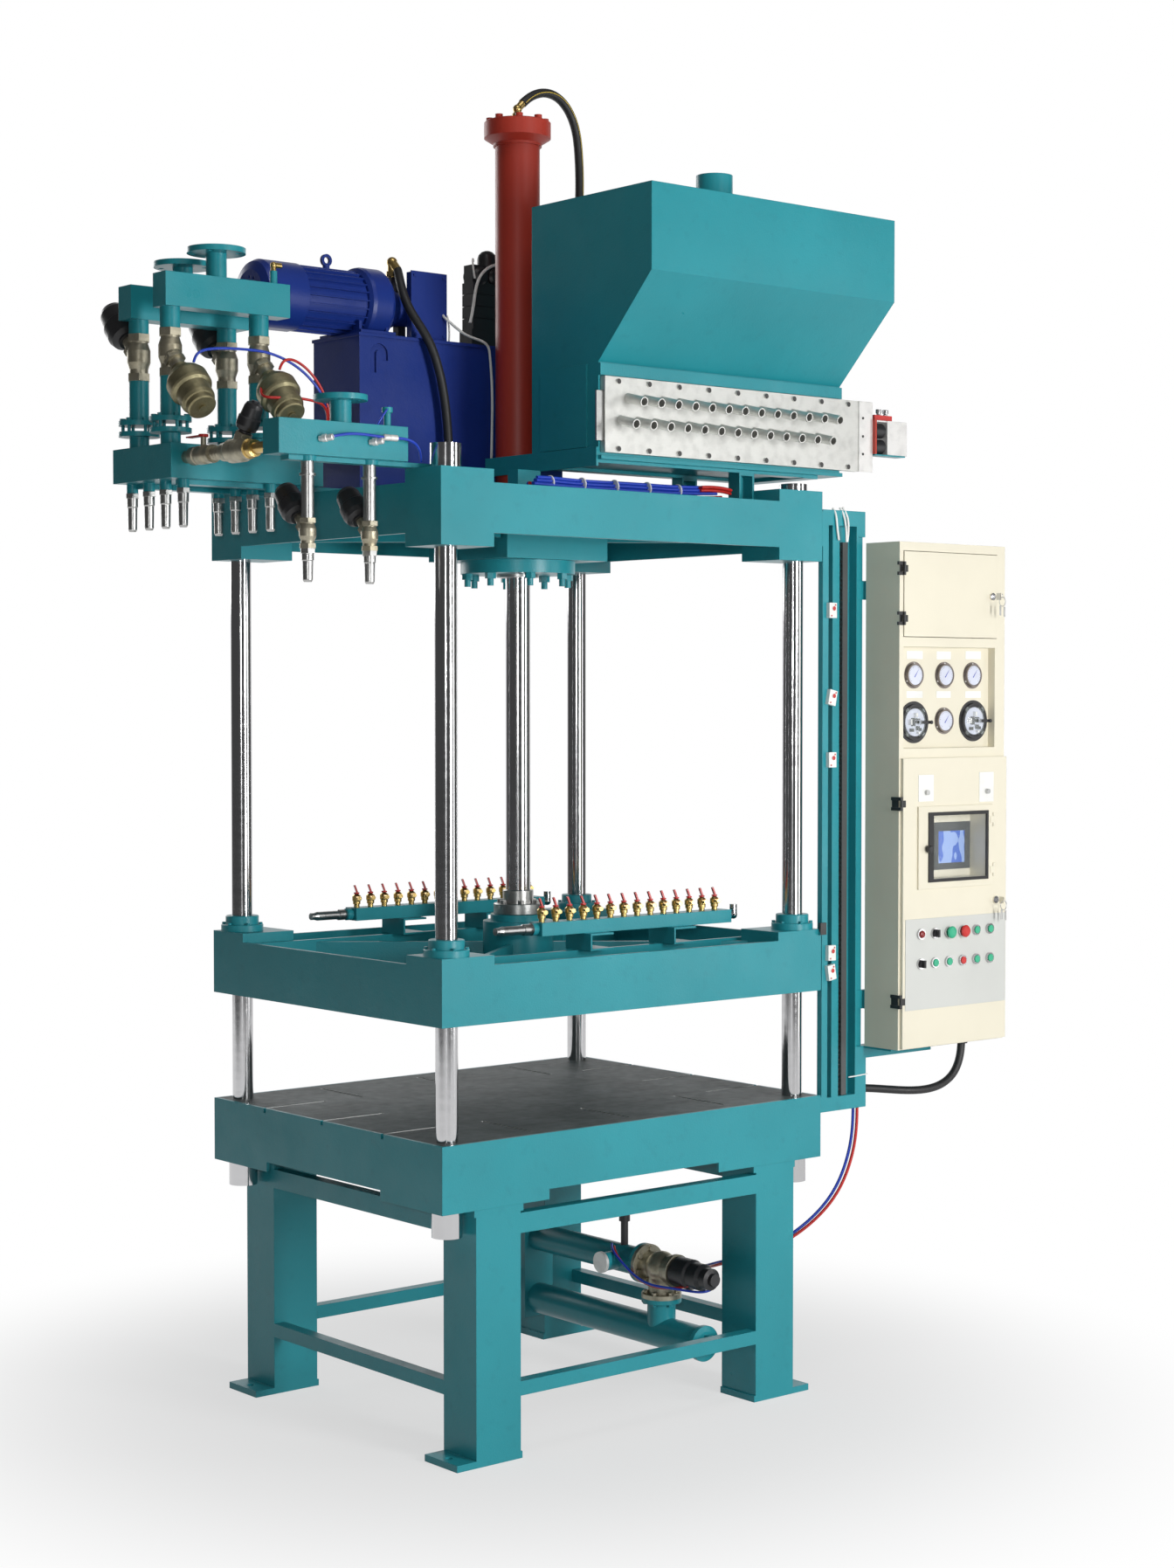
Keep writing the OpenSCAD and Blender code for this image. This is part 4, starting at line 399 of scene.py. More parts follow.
def make_materials():
    m = MATERIALS
    m["teal"] = orange_peel_paint("teal_paint", (0.020, 0.285, 0.335))
    m["blue"] = orange_peel_paint("blue_paint", (0.010, 0.034, 0.235), 0.34)
    m["red"] = smooth_paint("red_paint", (0.430, 0.035, 0.018), 0.40)
    m["cream"] = smooth_paint("cream_paint", (0.77, 0.725, 0.585), 0.38)
    m["plate"] = machined_plate("table_steel")
    m["stainless"] = turned_metal("stainless", (0.46, 0.46, 0.45), 0.30, (1, 1, 8))
    m["chrome"] = chrome_metal("chrome")
    m["aluminium"] = turned_metal("aluminium_sheet", (0.62, 0.61, 0.60), 0.42, (1, 1, 20), 0.9)
    m["brass"] = turned_metal("brass", (0.56, 0.40, 0.15), 0.30, (4, 4, 1))
    m["bronze"] = cast_metal("bronze", (0.30, 0.27, 0.16), 0.42)
    m["rubber"] = plastic("black_rubber", (0.014, 0.014, 0.015), 0.50, 0.0002)
    m["black"] = plastic("black_plastic", (0.018, 0.018, 0.020), 0.38)
    m["grey"] = plastic("grey_plastic", (0.075, 0.080, 0.080), 0.5)
    m["green"] = plastic("green_plastic", (0.030, 0.42, 0.23), 0.30)
    m["scarlet"] = plastic("red_plastic", (0.55, 0.022, 0.018), 0.32)
    m["white"] = plastic("white_plastic", (0.85, 0.85, 0.82), 0.4)
    m["blue_tube"] = plastic("blue_plastic", (0.02, 0.06, 0.50), 0.3)
    m["dial"] = plastic("dial_white", (0.66, 0.69, 0.80), 0.35)
    m["rim"] = turned_metal("gauge_rim", (0.24, 0.21, 0.19), 0.34, (1, 1, 1))
    m["panel_sheet"] = smooth_paint("panel_sheet", (0.60, 0.61, 0.58), 0.42)
    m["lamp_red"] = plastic("pilot_red", (0.22, 0.012, 0.012), 0.25)
    m["dark_steel"] = plastic("dark_steel", (0.035, 0.033, 0.032), 0.35)
    m["hinge"] = plastic("hinge_black", (0.020, 0.020, 0.021), 0.42)
    m["white_metal"] = turned_metal("white_metal", (0.80, 0.79, 0.77), 0.45, (1, 1, 6), 0.6)
    m["panel_steel"] = turned_metal("panel_steel", (0.66, 0.66, 0.63), 0.42, (1, 1, 8), 0.75)
    m["valve_metal"] = cast_metal("valve_metal", (0.42, 0.39, 0.30), 0.36)
    m["yellow"] = plastic("yellow_print", (0.62, 0.44, 0.05), 0.5)
    m["disc"] = turned_metal("disc_steel", (0.55, 0.56, 0.55), 0.45, (3, 3, 1), 0.8)
    m["pane"] = clear_pane("clear_pane", 0.06)
    m["glass"] = clear_pane("dome_glass", 0.16)
    m["display"] = lit_display("display")


# Material of each of the record's slots, and of the nodes that differ from their slot
SLOT_MATERIALS = {
    "teal_paint": "teal", "blue_paint": "blue", "red_paint": "red", "cream_paint": "cream",
    "table_steel": "plate", "stainless": "stainless", "chrome": "chrome",
    "aluminium_sheet": "aluminium", "brass": "brass", "bronze": "bronze",
    "black_rubber": "rubber", "black_plastic": "black", "grey_plastic": "grey",
    "green_plastic": "green", "red_plastic": "scarlet",
}
NODE_MATERIALS = {"angle_valves": "valve_metal", "column_nuts": "chrome"}


def dress_nodes():
    """Every CAD node gets the material of its slot."""
    slots = {s["node"]: s["material_slot"] for s in frame["record"]["subparts"]}
    for name, node in nodes.items():
        node.data.materials.clear()
        node.data.materials.append(MATERIALS[NODE_MATERIALS.get(name, SLOT_MATERIALS[slots[name]])])


BODY_OF = {n: b for b, names in frame["record"]["behaviour"]["bodies"].items() for n in names}


def add_piece(name, mesh, body, material=None):
    """A new object with the mesh, which rides on the body."""
    if material:
        mesh.materials.append(material)
    piece = bpy.data.objects.new(name, mesh)
    bpy.context.scene.collection.objects.link(piece)
    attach(piece, body)
    return piece


def add_built_piece(name, work, body, material=None):
    """The same for what was built in bmesh, which is freed."""
    mesh = bpy.data.meshes.new(name)
    work.to_mesh(mesh)
    work.free()
    return add_piece(name, mesh, body, material)


def repaint(node, base, zones):
    """A copy of a CAD node's mesh in several materials. A face takes the last zone, a box of
    millimetres (x, x, y, y, z, z, material), that holds all its corners."""
    mesh = nodes[node].data.copy()
    names = [base] + [n for n in dict.fromkeys(z[6] for z in zones) if n != base]
    mesh.materials.clear()
    for name in names:
        mesh.materials.append(MATERIALS[name])
    for face in mesh.polygons:
        face.material_index = 0
        corners = [mesh.vertices[i].co * 1000 for i in face.vertices]
        for x0, x1, y0, y1, z0, z1, name in zones:
            if all(x0 <= c.x <= x1 and y0 <= c.y <= y1 and z0 <= c.z <= z1 for c in corners):
                face.material_index = names.index(name)
    piece = add_piece(node + "_painted", mesh, BODY_OF[node])
    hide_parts(node)


# Places on the cabinet's front in millimetres: columns and rows of buttons, X and Z of the gauges
BUTTON_X = [1032 + 65.5 * i for i in range(6)]
BUTTON_Z = (508, 413)
GAUGES = [(1041, 1335), (1185, 1335), (1319, 1335), (1184, 1188)]
TIMERS = [(1042, 1184), (1324, 1187)]
GAUGE_Y = -721
UPPER_HINGES = (1672, 1514)
LOWER_HINGES = (926, 296)

# Fine detail of the gauges, in metres and degrees
OUTWARD = (0, -1, 0)
SHARP_ANGLE = math.radians(32)
DIAL_FACE = (GAUGE_Y - 4.2) * MM
DIAL_R = 0.0315
TICK_R, TICK_COUNT, TICK_HALF_WIDTH = 0.030, 26, 0.0004
LONG_TICK, SHORT_TICK = 0.0055, 0.003
NEEDLE_LENGTH, NEEDLE_TAIL, NEEDLE_ANGLE = 0.024, 0.35, 52
NEEDLE_HALF_WIDTH, NEEDLE_THICKNESS = 0.0016, 0.0005
SCREW_CIRCLE, SCREW_ANGLES = 38, (1.57, 3.67, 5.76)
TIMER_DIAL_R = 0.0445
# Parts on the timers' dials and bare plates, as (x, x, z, z) in millimetres
TIMER_WORKS = [(-18, -8, -12, 14), (-4, 10, -4, 6), (4, 12, -26, -12), (-26, -14, -30, -20),
               (0, 14, 8, 12), (16, 22, -28, -18)]
TIMER_MARKS = [(-6, 2, 16, 30), (6, 12, -38, -30), (-30, -24, -8, 10)]
BARE_PLATES = [(1009, 1084, 1386, 1412), (1149, 1217, 1386, 1412), (1287, 1362, 1388, 1414),
               (1009, 1084, 1262, 1284), (1149, 1217, 1262, 1284), (1287, 1362, 1262, 1284)]


def around(x, y, z, rx, ry, rz, name):
    """A zone by its middle and half its size along each axis."""
    return (x - rx, x + rx, y - ry, y + ry, z - rz, z + rz, name)


def table_slots():
    """Clamping grooves from the edges of the table plate, two to a side, and its middle disc."""
    half_groove, half_disc = 6.5, 48.5
    zones = [(-half_disc, half_disc, -half_disc, half_disc, -11, 0.2, "disc")]
    for i in (-1, 0, 1):
        x, y = i * 385, i * 310
        for side in (-1, 1):
            x0, x1 = sorted((side * 760, side * 480))
            y0, y1 = sorted((side * 600, side * 300))
            zones.append((x0, x1, y - half_groove, y + half_groove, -15, 0.2, "disc"))
            zones.append((x - half_groove, x + half_groove, y0, y1, -15, 0.2, "disc"))
    return zones


def repaint_press():
    # rod gland
    repaint("cylinder_flange", "teal", [(-67, 67, -67, 67, 1600, 1651, "stainless")])
    # end plate, the screws of the panel and those of the end plate
    repaint("filler_panel", "panel_steel",
            [(1003.5, 1067, -513.5, -508, 1990, 2230, "white_metal")]
            + [around(-21 + 122 * i, -512, z, 8.6, 2.8, 8.6, "dark_steel")
               for i in range(9) for z in (2007, 2208)]
            + [around(1021, -514, z, 4.6, 1.6, 4.6, "dark_steel") for z in (2052, 2109, 2168)])
    # head plate, body and its top strip, foot, solenoid valve and its two ports
    repaint("gate_cylinders", "black", [
        (1064, 1074.2, -526, -470, 2050, 2170, "red"),
        (1122, 1216, -526, -470, 2054, 2166, "white_metal"),
        (1071, 1125, -523, -473, 2159, 2166, "white_metal"),
        (1071, 1216, -519, -477, 2050, 2055.2, "teal"),
        (1073, 1157, -515, -481, 2164.8, 2183.2, "scarlet"),
        (1090, 1160, -515, -481, 2183, 2206, "chrome")])
    # pump, the block above it, return line stand
    repaint("pump", "blue", [(-268.2, -220, 150, 320, 2400, 2600, "black"),
                             (-331, -293, 218, 260, 2524, 2580, "black"),
                             (-301, -271, 222, 252, 2370, 2450, "black")])
    # lever of the ball valve, front nipple
    repaint("cross_pipe", "valve_metal", [(-1260, -1180, -200, 0, 1997, 2020, "scarlet"),
                                          (-1260, -1180, -440, -330, 1900, 2000, "brass")])
    # end disc of the side branch, black fitting
    repaint("drain_pipes", "teal", [(245, 257, -150, -70, -590, -500, "white_metal"),
                                    (330, 370, -130, -90, -503, -340, "black")])
    # end fittings of the two bars
    repaint("valve_bars", "teal", [(-410, -268, -430, -370, 500, 620, "stainless"),
                                   (-520, -385, 370, 430, 500, 620, "stainless"),
                                   (533, 590, -430, -370, 500, 640, "chrome"),
                                   (420, 480, 370, 430, 500, 640, "chrome")])
    # buttons of the switches
    repaint("limit_switches", "white", [(760, 810, -618, -614.2, 300, 1600, "scarlet")])


def repaint_cabinet():
    # hinge leaves, key lock
    repaint("upper_door", "cream", [around(968, -756, z, 14, 8, 24, "hinge") for z in UPPER_HINGES]
            + [around(1380, -775, 1592, 26, 21.5, 30, "chrome")])
    # hinge leaves and pins, cable gland
    repaint("cabinet_body", "cream", [around(948, -756, z, 16, 7, 24, "hinge") for z in UPPER_HINGES]
            + [(940, 945.1, -765, -715, z - 24, z + 24, "hinge") for z in LOWER_HINGES]
            + [around(948, -760, z, 6, 6, 24, "hinge") for z in LOWER_HINGES]
            + [around(1322, -680, 134, 21, 21, 7.2, "black")])
    # hinge leaves, key lock, cover plates and their knobs
    repaint("lower_door", "cream", [around(954, -762, z, 11, 5, 14, "hinge") for z in LOWER_HINGES]
            + [around(1392, -780, 601, 15, 17.8, 25, "chrome"),
               (1021, 1093, -764.2, -761.9, 931, 1017, "white"),
               (1310, 1380, -764.2, -761.9, 923, 1021, "white")]
            + [around(x, -769, z, 9, 5.2, 9, "stainless") for x, z in ((1057, 960), (1345, 958))])
    # rubber frame, pane, knob
    repaint("window_door", "cream", [(1061.5, 1347.5, -773, -764, 671, 897, "rubber"),
                                     (1078, 1344, -768, -764, 675, 892, "pane"),
                                     around(1057, -780, 780, 13, 11.6, 13, "black")])
    # bezels, contact blocks behind the door, pilot lamp
    places = [(x, z) for x in BUTTON_X for z in BUTTON_Z]
    repaint("button_panel", "panel_sheet", [around(x, -768, z, 18, 4.4, 18, "chrome") for x, z in places]
            + [around(x, -740, z, 21, 21.8, 21, "black") for x, z in places]
            + [around(BUTTON_X[0], -772, BUTTON_Z[0], 12.6, 9, 12.6, "lamp_red")])
    repaint("touch_screen", "black", [(1186, 1314, -698, -697.2, 724, 830, "display")])
    # cases and domes of the two timers
    repaint("gauges", "rim", [around(x, -740, z, 70, 20, 70, "black") for x, z in TIMERS]
            + [around(x, -742, z, 46.8, 15.2, 46.8, "glass") for x, z in TIMERS])


def repaint_nodes():
    """The nodes that are made of more than one material."""
    repaint_press()
    repaint_cabinet()
    # target of the position switches
    repaint("moving_platen", "teal", [(735, 763, -613, -600.5, 505, 551, "dark_steel")])
    repaint("table_plate", "plate", table_slots())
    # cable gland
    repaint("rail_frame", "teal", [(936, 967, -600, -555, -18, 18, "black")])


def turned_piece(name, at, axis, points, material, body="press_frame", segments=32):
    """A body turned round the axis from (radius, height) points in metres."""
    work = bmesh.new()
    rings = []
    for radius, height in points:
        rings.append([work.verts.new((radius * math.cos(2 * math.pi * k / segments),
                                      radius * math.sin(2 * math.pi * k / segments), height))
                      for k in range(segments)])
    for low, high in zip(rings, rings[1:]):
        for k in range(segments):
            work.faces.new((low[k], low[(k + 1) % segments], high[(k + 1) % segments], high[k]))
    work.faces.new(list(reversed(rings[0])))
    work.faces.new(rings[-1])
    for face in work.faces:
        face.smooth = True
    turn = Vector((0, 0, 1)).rotation_difference(Vector(axis)).to_matrix().to_4x4()
    bmesh.ops.transform(work, matrix=Matrix.Translation(Vector(at)) @ turn, verts=work.verts)
    piece = add_built_piece(name, work, body, material)
    piece.data.set_sharp_from_angle(angle=SHARP_ANGLE)


def solid_boxes(name, boxes, material, body="press_frame", edge=0.0006):
    """Boxes of metres (x, x, y, y, z, z) in one piece, with small bevels."""
    work = bmesh.new()
    for x0, x1, y0, y1, z0, z1 in boxes:
        for v in bmesh.ops.create_cube(work, size=1)["verts"]:
            v.co = Vector(((x0, x1)[v.co.x > 0], (y0, y1)[v.co.y > 0], (z0, z1)[v.co.z > 0]))
    bmesh.ops.bevel(work, geom=list(work.edges), offset=edge, segments=1, affect="EDGES")
    add_built_piece(name, work, body, material)


def boxes_at(x, z, y0, y1, sides):
    """Boxes in metres between two depths, from (x, x, z, z) sides in millimetres round a place."""
    return [((x + a) * MM, (x + b) * MM, y0, y1, (z + c) * MM, (z + d) * MM) for a, b, c, d in sides]


def dial_ticks(name, x, y, z, material):
    """Ticks of a dial over 270 degrees, longer at every fifth."""
    work = bmesh.new()
    for k in range(TICK_COUNT):
        angle = math.radians(-45 + 270 * k / (TICK_COUNT - 1))
        length = LONG_TICK if k % 5 == 0 else SHORT_TICK
        along = Vector((math.cos(angle), 0, math.sin(angle)))
        across = Vector((-along.z, 0, along.x)) * TICK_HALF_WIDTH
        a = Vector((x, y, z)) + along * TICK_R
        b = a - along * length
        work.faces.new([work.verts.new(p) for p in (a - across, a + across, b + across, b - across)])
    add_built_piece(name, work, "press_frame", material)


def dial_needle(name, x, y, z, material):
    """A thin wedge with its tail past the middle of the dial."""
    angle = math.radians(NEEDLE_ANGLE)
    along = Vector((math.cos(angle), 0, math.sin(angle)))
    across = Vector((-along.z, 0, along.x)) * NEEDLE_HALF_WIDTH
    at = Vector((x, y, z))
    tail = at - along * NEEDLE_LENGTH * NEEDLE_TAIL
    flat = [tail - across, tail + across, at + along * NEEDLE_LENGTH]
    work = bmesh.new()
    front = [work.verts.new(p) for p in flat]
    back = [work.verts.new(p + Vector((0, NEEDLE_THICKNESS, 0))) for p in flat]
    work.faces.new(front)
    work.faces.new(list(reversed(back)))
    for k in range(3):
        work.faces.new((front[k], back[k], back[(k + 1) % 3], front[(k + 1) % 3]))
    add_built_piece(name, work, "press_frame", material)


def make_gauges():
    """Dials with ticks and needles, and the screws of the gauges' flanges."""
    m = MATERIALS
    for i, (x, z) in enumerate(GAUGES):
        turned_piece("dial_%d" % i, (x * MM, DIAL_FACE - 0.0045, z * MM), OUTWARD,
                     [(DIAL_R, 0), (DIAL_R, 0.0012)], m["dial"], segments=48)
        dial_ticks("dial_ticks_%d" % i, x * MM, DIAL_FACE - 0.0060, z * MM, m["black"])
        dial_needle("needle_%d" % i, x * MM, DIAL_FACE - 0.0066, z * MM, m["blue_tube"])
        for k, angle in enumerate(SCREW_ANGLES):
            at = (x + SCREW_CIRCLE * math.cos(angle), GAUGE_Y - 3, z + SCREW_CIRCLE * math.sin(angle))
            turned_piece("gauge_screw_%d_%d" % (i, k), tuple(c * MM for c in at), OUTWARD,
                         [(0.0030, 0), (0.0030, 0.0008), (0.0022, 0.0016)], m["white_metal"],
                         segments=12)


def make_timers():
    """The dial, dark works and pale marks under each timer's dome, and its knob."""
    m = MATERIALS
    for i, (x, z) in enumerate(TIMERS):
        turned_piece("timer_dial_%d" % i, (x * MM, -0.7272, z * MM), OUTWARD,
                     [(TIMER_DIAL_R, 0), (TIMER_DIAL_R, 0.0006)], m["dial"], segments=48)
        solid_boxes("timer_works_%d" % i, boxes_at(x, z, -0.738, -0.7275, TIMER_WORKS), m["dark_steel"])
        solid_boxes("timer_marks_%d" % i, boxes_at(x, z, -0.740, -0.7275, TIMER_MARKS), m["white_metal"])
        turned_piece("timer_knob_%d" % i, ((x + 54) * MM, -0.7480, z * MM), OUTWARD,
                     [(0.0060, 0), (0.0062, 0.003), (0.0045, 0.005)], m["black"], segments=20)
    solid_boxes("gauge_plates",
                boxes_at(0, 0, (GAUGE_Y - 1.0) * MM, (GAUGE_Y + 0.2) * MM, BARE_PLATES), m["white"],
                edge=0.0003)


def make_keys():
    """The keys left in the two door locks."""
    for name, body, x, z, y in (("upper_keys", "top_door", 1380, 1592, -0.798),
                                ("lower_keys", "main_door", 1392, 601, -0.800)):
        blades = [(-1.2, 1.2, 0, 9), (-14, -6, -62, -30), (6, 13, -66, -34)]
        solid_boxes(name, boxes_at(x, z, y, y + 0.002, blades), MATERIALS["stainless"], body, 0.0003)
        turns = [k * math.pi / 12 for k in range(25)]
        ring = [(x + 15 * math.cos(a), y / MM + 1, z - 17 + 15 * math.sin(a)) for a in turns]
        tied_line(name + "_ring", ring, 0.0012, MATERIALS["stainless"], body)


# ---------- Flexible lines ----------

CYLINDER_ROUTE = [
    (0.020, 0.000, 3.124), (0.045, 0.000, 3.147), (0.080, 0.000, 3.165), (0.120, 0.002, 3.173),
    (0.160, 0.004, 3.168), (0.196, 0.008, 3.150), (0.226, 0.012, 3.121), (0.248, 0.016, 3.084),
    (0.262, 0.020, 3.042), (0.273, 0.026, 2.980), (0.281, 0.032, 2.900), (0.283, 0.040, 2.810),
    (0.281, 0.056, 2.716), (0.272, 0.084, 2.630), (0.256, 0.118, 2.570), (0.230, 0.154, 2.522),
    (0.196, 0.186, 2.491), (0.164, 0.205, 2.475), (0.132, 0.213, 2.470),
]
PUMP_ROUTE = [
    (-0.313, 0.208, 2.596), (-0.320, 0.190, 2.574), (-0.328, 0.171, 2.545),
    (-0.332, 0.150, 2.511), (-0.330, 0.131, 2.475), (-0.318, 0.112, 2.437),
    (-0.300, 0.094, 2.400), (-0.280, 0.081, 2.358), (-0.260, 0.077, 2.308),
    (-0.243, 0.075, 2.250), (-0.230, 0.075, 2.190), (-0.221, 0.075, 2.125),
    (-0.216, 0.075, 2.060), (-0.213, 0.075, 1.995), (-0.213, 0.075, 1.930),
]
CONDUIT_ROUTE = [
    (1.322, -0.680, 0.128), (1.320, -0.680, 0.098), (1.309, -0.680, 0.062),
    (1.286, -0.680, 0.030), (1.254, -0.679, 0.008), (1.214, -0.677, -0.006),
    (1.170, -0.673, -0.012), (1.126, -0.664, -0.013), (1.084, -0.648, -0.011),
    (1.046, -0.627, -0.007), (1.014, -0.608, -0.004), (0.988, -0.593, -0.001),
    (0.964, -0.579, 0.000),
]
TUBE_ROUTE = [
    (0.938, -0.578, -0.058), (0.938, -0.578, -0.100), (0.935, -0.576, -0.160),
    (0.922, -0.568, -0.230), (0.900, -0.556, -0.300), (0.868, -0.534, -0.366),
    (0.824, -0.500, -0.426), (0.774, -0.460, -0.476), (0.722, -0.418, -0.514),
    (0.666, -0.376, -0.540), (0.608, -0.342, -0.554), (0.556, -0.330, -0.560),
    (0.508, -0.344, -0.558), (0.464, -0.370, -0.550), (0.424, -0.396, -0.546),
]
DECK_ROUTE = [
    (-0.330, -0.470, 1.892), (-0.270, -0.452, 1.884), (-0.200, -0.440, 1.882),
    (-0.120, -0.432, 1.882), (-0.030, -0.428, 1.882), (0.070, -0.424, 1.883),
    (0.170, -0.428, 1.882), (0.270, -0.436, 1.882), (0.370, -0.446, 1.883),
    (0.450, -0.456, 1.888),
]
# The second tube of a pair, and the painted stripe, beside the first line
TUBE_OFFSET = (-0.004, 0.014, 0.002)
DECK_OFFSET = (0.004, 0.012, 0)
STRIPE_OFFSET = (0.0035, -0.0128, 0.001)
STRIPE_POINTS = 15
HOSE_R = 0.014
CONDUIT_R = 0.013
TUBE_R = 0.005
THIN_TUBE_R = 0.004
CABLE_R = 0.0035
STRIPE_R = 0.0016


def line_curve(name, route, radius, material, sides=6):
    """A round line through the route's points, as a curve of one open spline."""
    data = bpy.data.curves.new(name, "CURVE")
    data.dimensions = "3D"
    data.bevel_depth = radius
    data.bevel_resolution = sides
    data.resolution_u = 6
    data.use_fill_caps = True
    spline = data.splines.new("NURBS")
    spline.points.add(len(route) - 1)
    for point, at in zip(spline.points, route):
        point.co = (*at, 1)
    spline.order_u = 4
    spline.use_endpoint_u = True
    data.materials.append(material)
    line = bpy.data.objects.new(name, data)
    bpy.context.scene.collection.objects.link(line)
    return line


def shifted(route, by):
    return [tuple(a + b for a, b in zip(p, by)) for p in route]


def in_metres(route):
    return [tuple(c * MM for c in p) for p in route]


def free_line(name, route, radius, material, node=None):
    """A hose, cable or tube that hangs or lies free between two fittings."""
    line = line_curve(name, route, radius, material)
    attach(line, "press_frame")
    if node:
        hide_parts(node)


def hanging_line(name, route, radius, material):
    """A thin free line, its route in millimetres."""
    free_line(name, in_metres(route), radius, material)


def tied_line(name, route, radius, material, body="press_frame"):
    """A line clipped or tied along its whole way, its route in millimetres."""
    line = line_curve(name, in_metres(route), radius, material, 3)
    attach(line, body)


def make_cords():
    """The lines that stand for CAD nodes."""
    m = MATERIALS
    stripe = line_curve("cylinder_hose_stripe", shifted(CYLINDER_ROUTE[:STRIPE_POINTS], STRIPE_OFFSET),
                        STRIPE_R, m["yellow"])
    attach(stripe, "press_frame")
    free_line("cylinder_hose", CYLINDER_ROUTE, HOSE_R, m["rubber"], "oil_hoses")
    free_line("pump_hose", PUMP_ROUTE, HOSE_R, m["rubber"], "oil_hoses")
    free_line("conduit", CONDUIT_ROUTE, CONDUIT_R, m["rubber"], "cabinet_conduit")
    free_line("red_drain_tube", TUBE_ROUTE, TUBE_R, m["scarlet"], "air_tubes")
    free_line("blue_drain_tube", shifted(TUBE_ROUTE, TUBE_OFFSET), TUBE_R,
              m["blue_tube"], "air_tubes")
    free_line("red_deck_tube", DECK_ROUTE, TUBE_R, m["scarlet"], "air_tubes")
    free_line("blue_deck_tube", shifted(DECK_ROUTE, DECK_OFFSET), TUBE_R, m["blue_tube"], "air_tubes")


def make_cables():
    """Thin cables on the oil unit and in the rail frame."""
    white = MATERIALS["white"]
    hanging_line("coil_lead_a", [
        (-32, 186, 2650), (-40, 178, 2660), (-46, 172, 2650), (-45, 170, 2628), (-41, 171, 2612),
        (-34, 176, 2596)], 0.0032, white)
    hanging_line("coil_lead_b", [
        (60, 172, 2648), (38, 166, 2644), (10, 163, 2633), (-16, 162, 2612), (-32, 162, 2588),
        (-40, 164, 2557), (-44, 166, 2524), (-49, 168, 2485), (-56, 172, 2452)], 0.0048, white)
    hanging_line("box_lead", [
        (-176, 158, 2466), (-186, 140, 2456), (-176, 124, 2440), (-158, 116, 2424), (-138, 112, 2410),
        (-112, 108, 2398), (-80, 105, 2391), (-56, 102, 2385), (-42, 100, 2375), (-34, 100, 2360),
        (-28, 104, 2330), (-20, 106, 2262), (-18, 106, 2180), (-20, 107, 2080), (-22, 108, 1990)],
        0.0042, white)
    hanging_line("box_drop", [
        (-164, 150, 2462), (-160, 146, 2440), (-157, 145, 2414), (-159, 147, 2382)], 0.003, white)
    hanging_line("switch_cable_1", [
        (806, -590, 1862), (806, -604, 1852), (808, -606, 1820), (812, -606, 1790), (818, -606, 1762)],
        CABLE_R, white)
    hanging_line("switch_cable_2", [
        (838, -590, 1866), (842, -604, 1848), (850, -606, 1810), (852, -606, 1780), (856, -602, 1758)],
        CABLE_R, white)
    hanging_line("switch_cable_3", [
        (850, -590, 1868), (858, -604, 1846), (863, -606, 1810), (862, -604, 1780), (862, -600, 1758)],
        CABLE_R, white)
    tied_line("duct_tie", [(876, -600, 46), (905, -603, 47), (930, -603.5, 48), (957, -603, 50)],
              0.0022, white)


def make_pipe_tubes():
    """Air tubes with their fittings round the left pipework and on the front manifold."""
    m = MATERIALS
    blue, red = m["blue_tube"], m["scarlet"]
    hanging_line("blue_arc", [
        (-1233, -86, 2208), (-1226, -85, 2232), (-1201, -82, 2247), (-1144, -74, 2256),
        (-1091, -68, 2260), (-1040, -62, 2262), (-988, -60, 2262), (-943, -60, 2255),
        (-898, -60, 2241), (-855, -60, 2220), (-816, -60, 2192), (-777, -60, 2149),
        (-758, -58, 2110), (-750, -52, 2070), (-752, -42, 2030), (-760, -30, 1990)], THIN_TUBE_R, blue)
    hanging_line("red_arc", [
        (-935, -70, 2212), (-928, -70, 2234), (-908, -68, 2246), (-878, -64, 2245), (-839, -62, 2228),
        (-802, -62, 2195), (-775, -62, 2157), (-758, -62, 2110), (-748, -58, 2070), (-744, -46, 2030),
        (-746, -30, 1990)], THIN_TUBE_R, red)
    hanging_line("red_low", [
        (-984, -50, 2160), (-1000, -66, 2140), (-1006, -92, 2127), (-990, -112, 2124),
        (-950, -122, 2126), (-910, -124, 2128), (-865, -122, 2125), (-821, -112, 2122),
        (-784, -92, 2106), (-766, -70, 2070), (-768, -44, 2028), (-774, -30, 1990)], THIN_TUBE_R, red)
    for i, x in enumerate((-1.098, -0.930)):
        turned_piece("push_fitting_%d" % i, (x, -0.514, 1.970), (0.55, -1, 0.1),
                     [(0.008, 0), (0.008, 0.010), (0.011, 0.010), (0.011, 0.022), (0.009, 0.024),
                      (0.009, 0.040), (0.0065, 0.042)], m["white_metal"], segments=20)
    hanging_line("manifold_blue", [
        (-1082, -540, 1974), (-1066, -543, 1978), (-1036, -543, 1985), (-990, -542, 1989),
        (-940, -542, 1987), (-905, -542, 1984)], THIN_TUBE_R, blue)
    turned_piece("inline_fitting", (-0.905, -0.542, 1.984), (1, 0, 0),
                 [(0.0065, 0), (0.009, 0.003), (0.009, 0.020), (0.007, 0.022), (0.009, 0.026),
                  (0.009, 0.046), (0.0065, 0.048)], m["white_metal"], segments=20)
    hanging_line("manifold_blue_2", [
        (-857, -542, 1984), (-830, -541, 1985), (-800, -536, 1980), (-772, -524, 1968),
        (-752, -508, 1950), (-740, -492, 1930)], THIN_TUBE_R, blue)
    hanging_line("stub_tube", [
        (-842, -482, 2078), (-856, -488, 2066), (-872, -486, 2044), (-880, -478, 2024)], 0.003, blue)


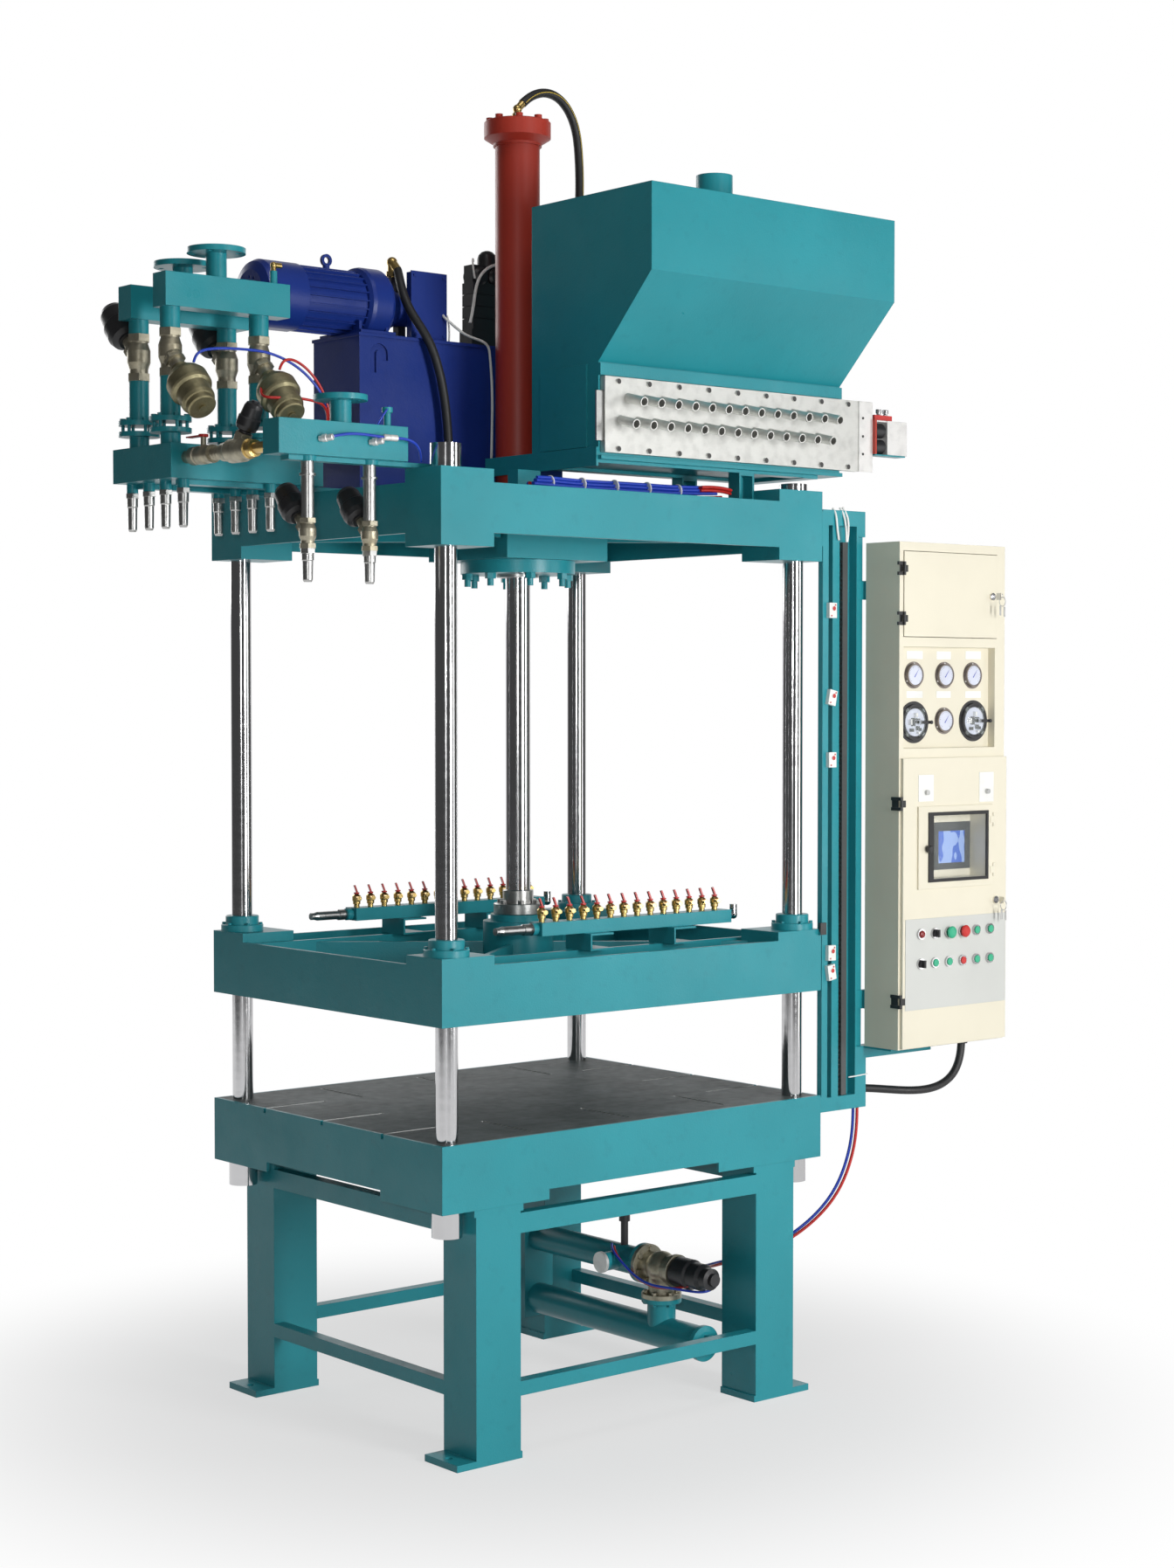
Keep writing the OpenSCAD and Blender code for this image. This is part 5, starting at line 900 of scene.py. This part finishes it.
def make_bundle():
    """Tubes tied together along the deck under the hopper."""
    blue, red = MATERIALS["blue_tube"], MATERIALS["scarlet"]
    for i, (dy, dz) in enumerate([(-14, 8), (-4, 10), (6, 9), (-9, 18), (2, 20), (-4, 28)]):
        y, z = -460 + dy, 1880 + dz
        tied_line("bundle_%d" % i, [
            (-328 + 4 * i, y - 14, z + 2), (-260, y - 6, z + 2 + 2 * (i % 2)), (-160, y - 2, z),
            (-40, y + 2 + 3 * (i % 3), z + 2), (90, y, z + 3 * (i % 2)), (230, y - 2, z + 1),
            (330, y - 6, z + 4), (410, y - 2, z + 8)], TUBE_R, blue)
    for i, (dy, dz) in enumerate([(-12, 22), (-2, 30), (-16, 32)]):
        y, z = -470 + dy, 1880 + dz
        tied_line("bundle_red_%d" % i, [
            (338, y, z), (380, y + 2, z + 4), (430, y + 4, z + 4), (476, y + 14, z - 2)], TUBE_R, red)


def make_drain_tubes():
    """Air tubes and the tee at the drain valve under the table."""
    m = MATERIALS
    hanging_line("red_valve_tube", [
        (318, -96, -506), (292, -130, -518), (284, -180, -545), (284, -240, -580), (288, -310, -596),
        (300, -370, -594), (318, -430, -582), (338, -478, -566), (350, -492, -556)],
        THIN_TUBE_R, m["scarlet"])
    hanging_line("blue_valve_tube", [
        (318, -84, -500), (286, -118, -510), (276, -180, -536), (276, -240, -572), (280, -310, -590),
        (294, -378, -588), (318, -440, -590), (352, -486, -596), (384, -506, -580), (384, -510, -556),
        (362, -498, -544)], THIN_TUBE_R, m["blue_tube"])
    turned_piece("actuator_tee", (0.350, -0.478, -0.546), (0.2, -1, 0),
                 [(0.009, 0), (0.009, 0.012), (0.012, 0.012), (0.012, 0.022), (0.009, 0.026)],
                 m["chrome"], segments=20)


def make_bundle_ties():
    for i, x in enumerate((-250, -128, 0, 130, 255)):
        turned_piece("bundle_tie_%d" % i, (x * MM, -0.464, 1.897), (1, 0, 0),
                     [(0.021, 0), (0.0222, 0.001), (0.0222, 0.0035), (0.021, 0.0045)],
                     MATERIALS["white"], segments=24)


make_camera()
make_light()
make_world()
make_materials()
make_cords()
make_floor()
dress_nodes()
repaint_nodes()
make_gauges()
make_timers()
make_keys()
make_cables()
make_pipe_tubes()
make_bundle()
make_drain_tubes()
make_bundle_ties()

bpy.context.scene.view_settings.view_transform = "Standard"
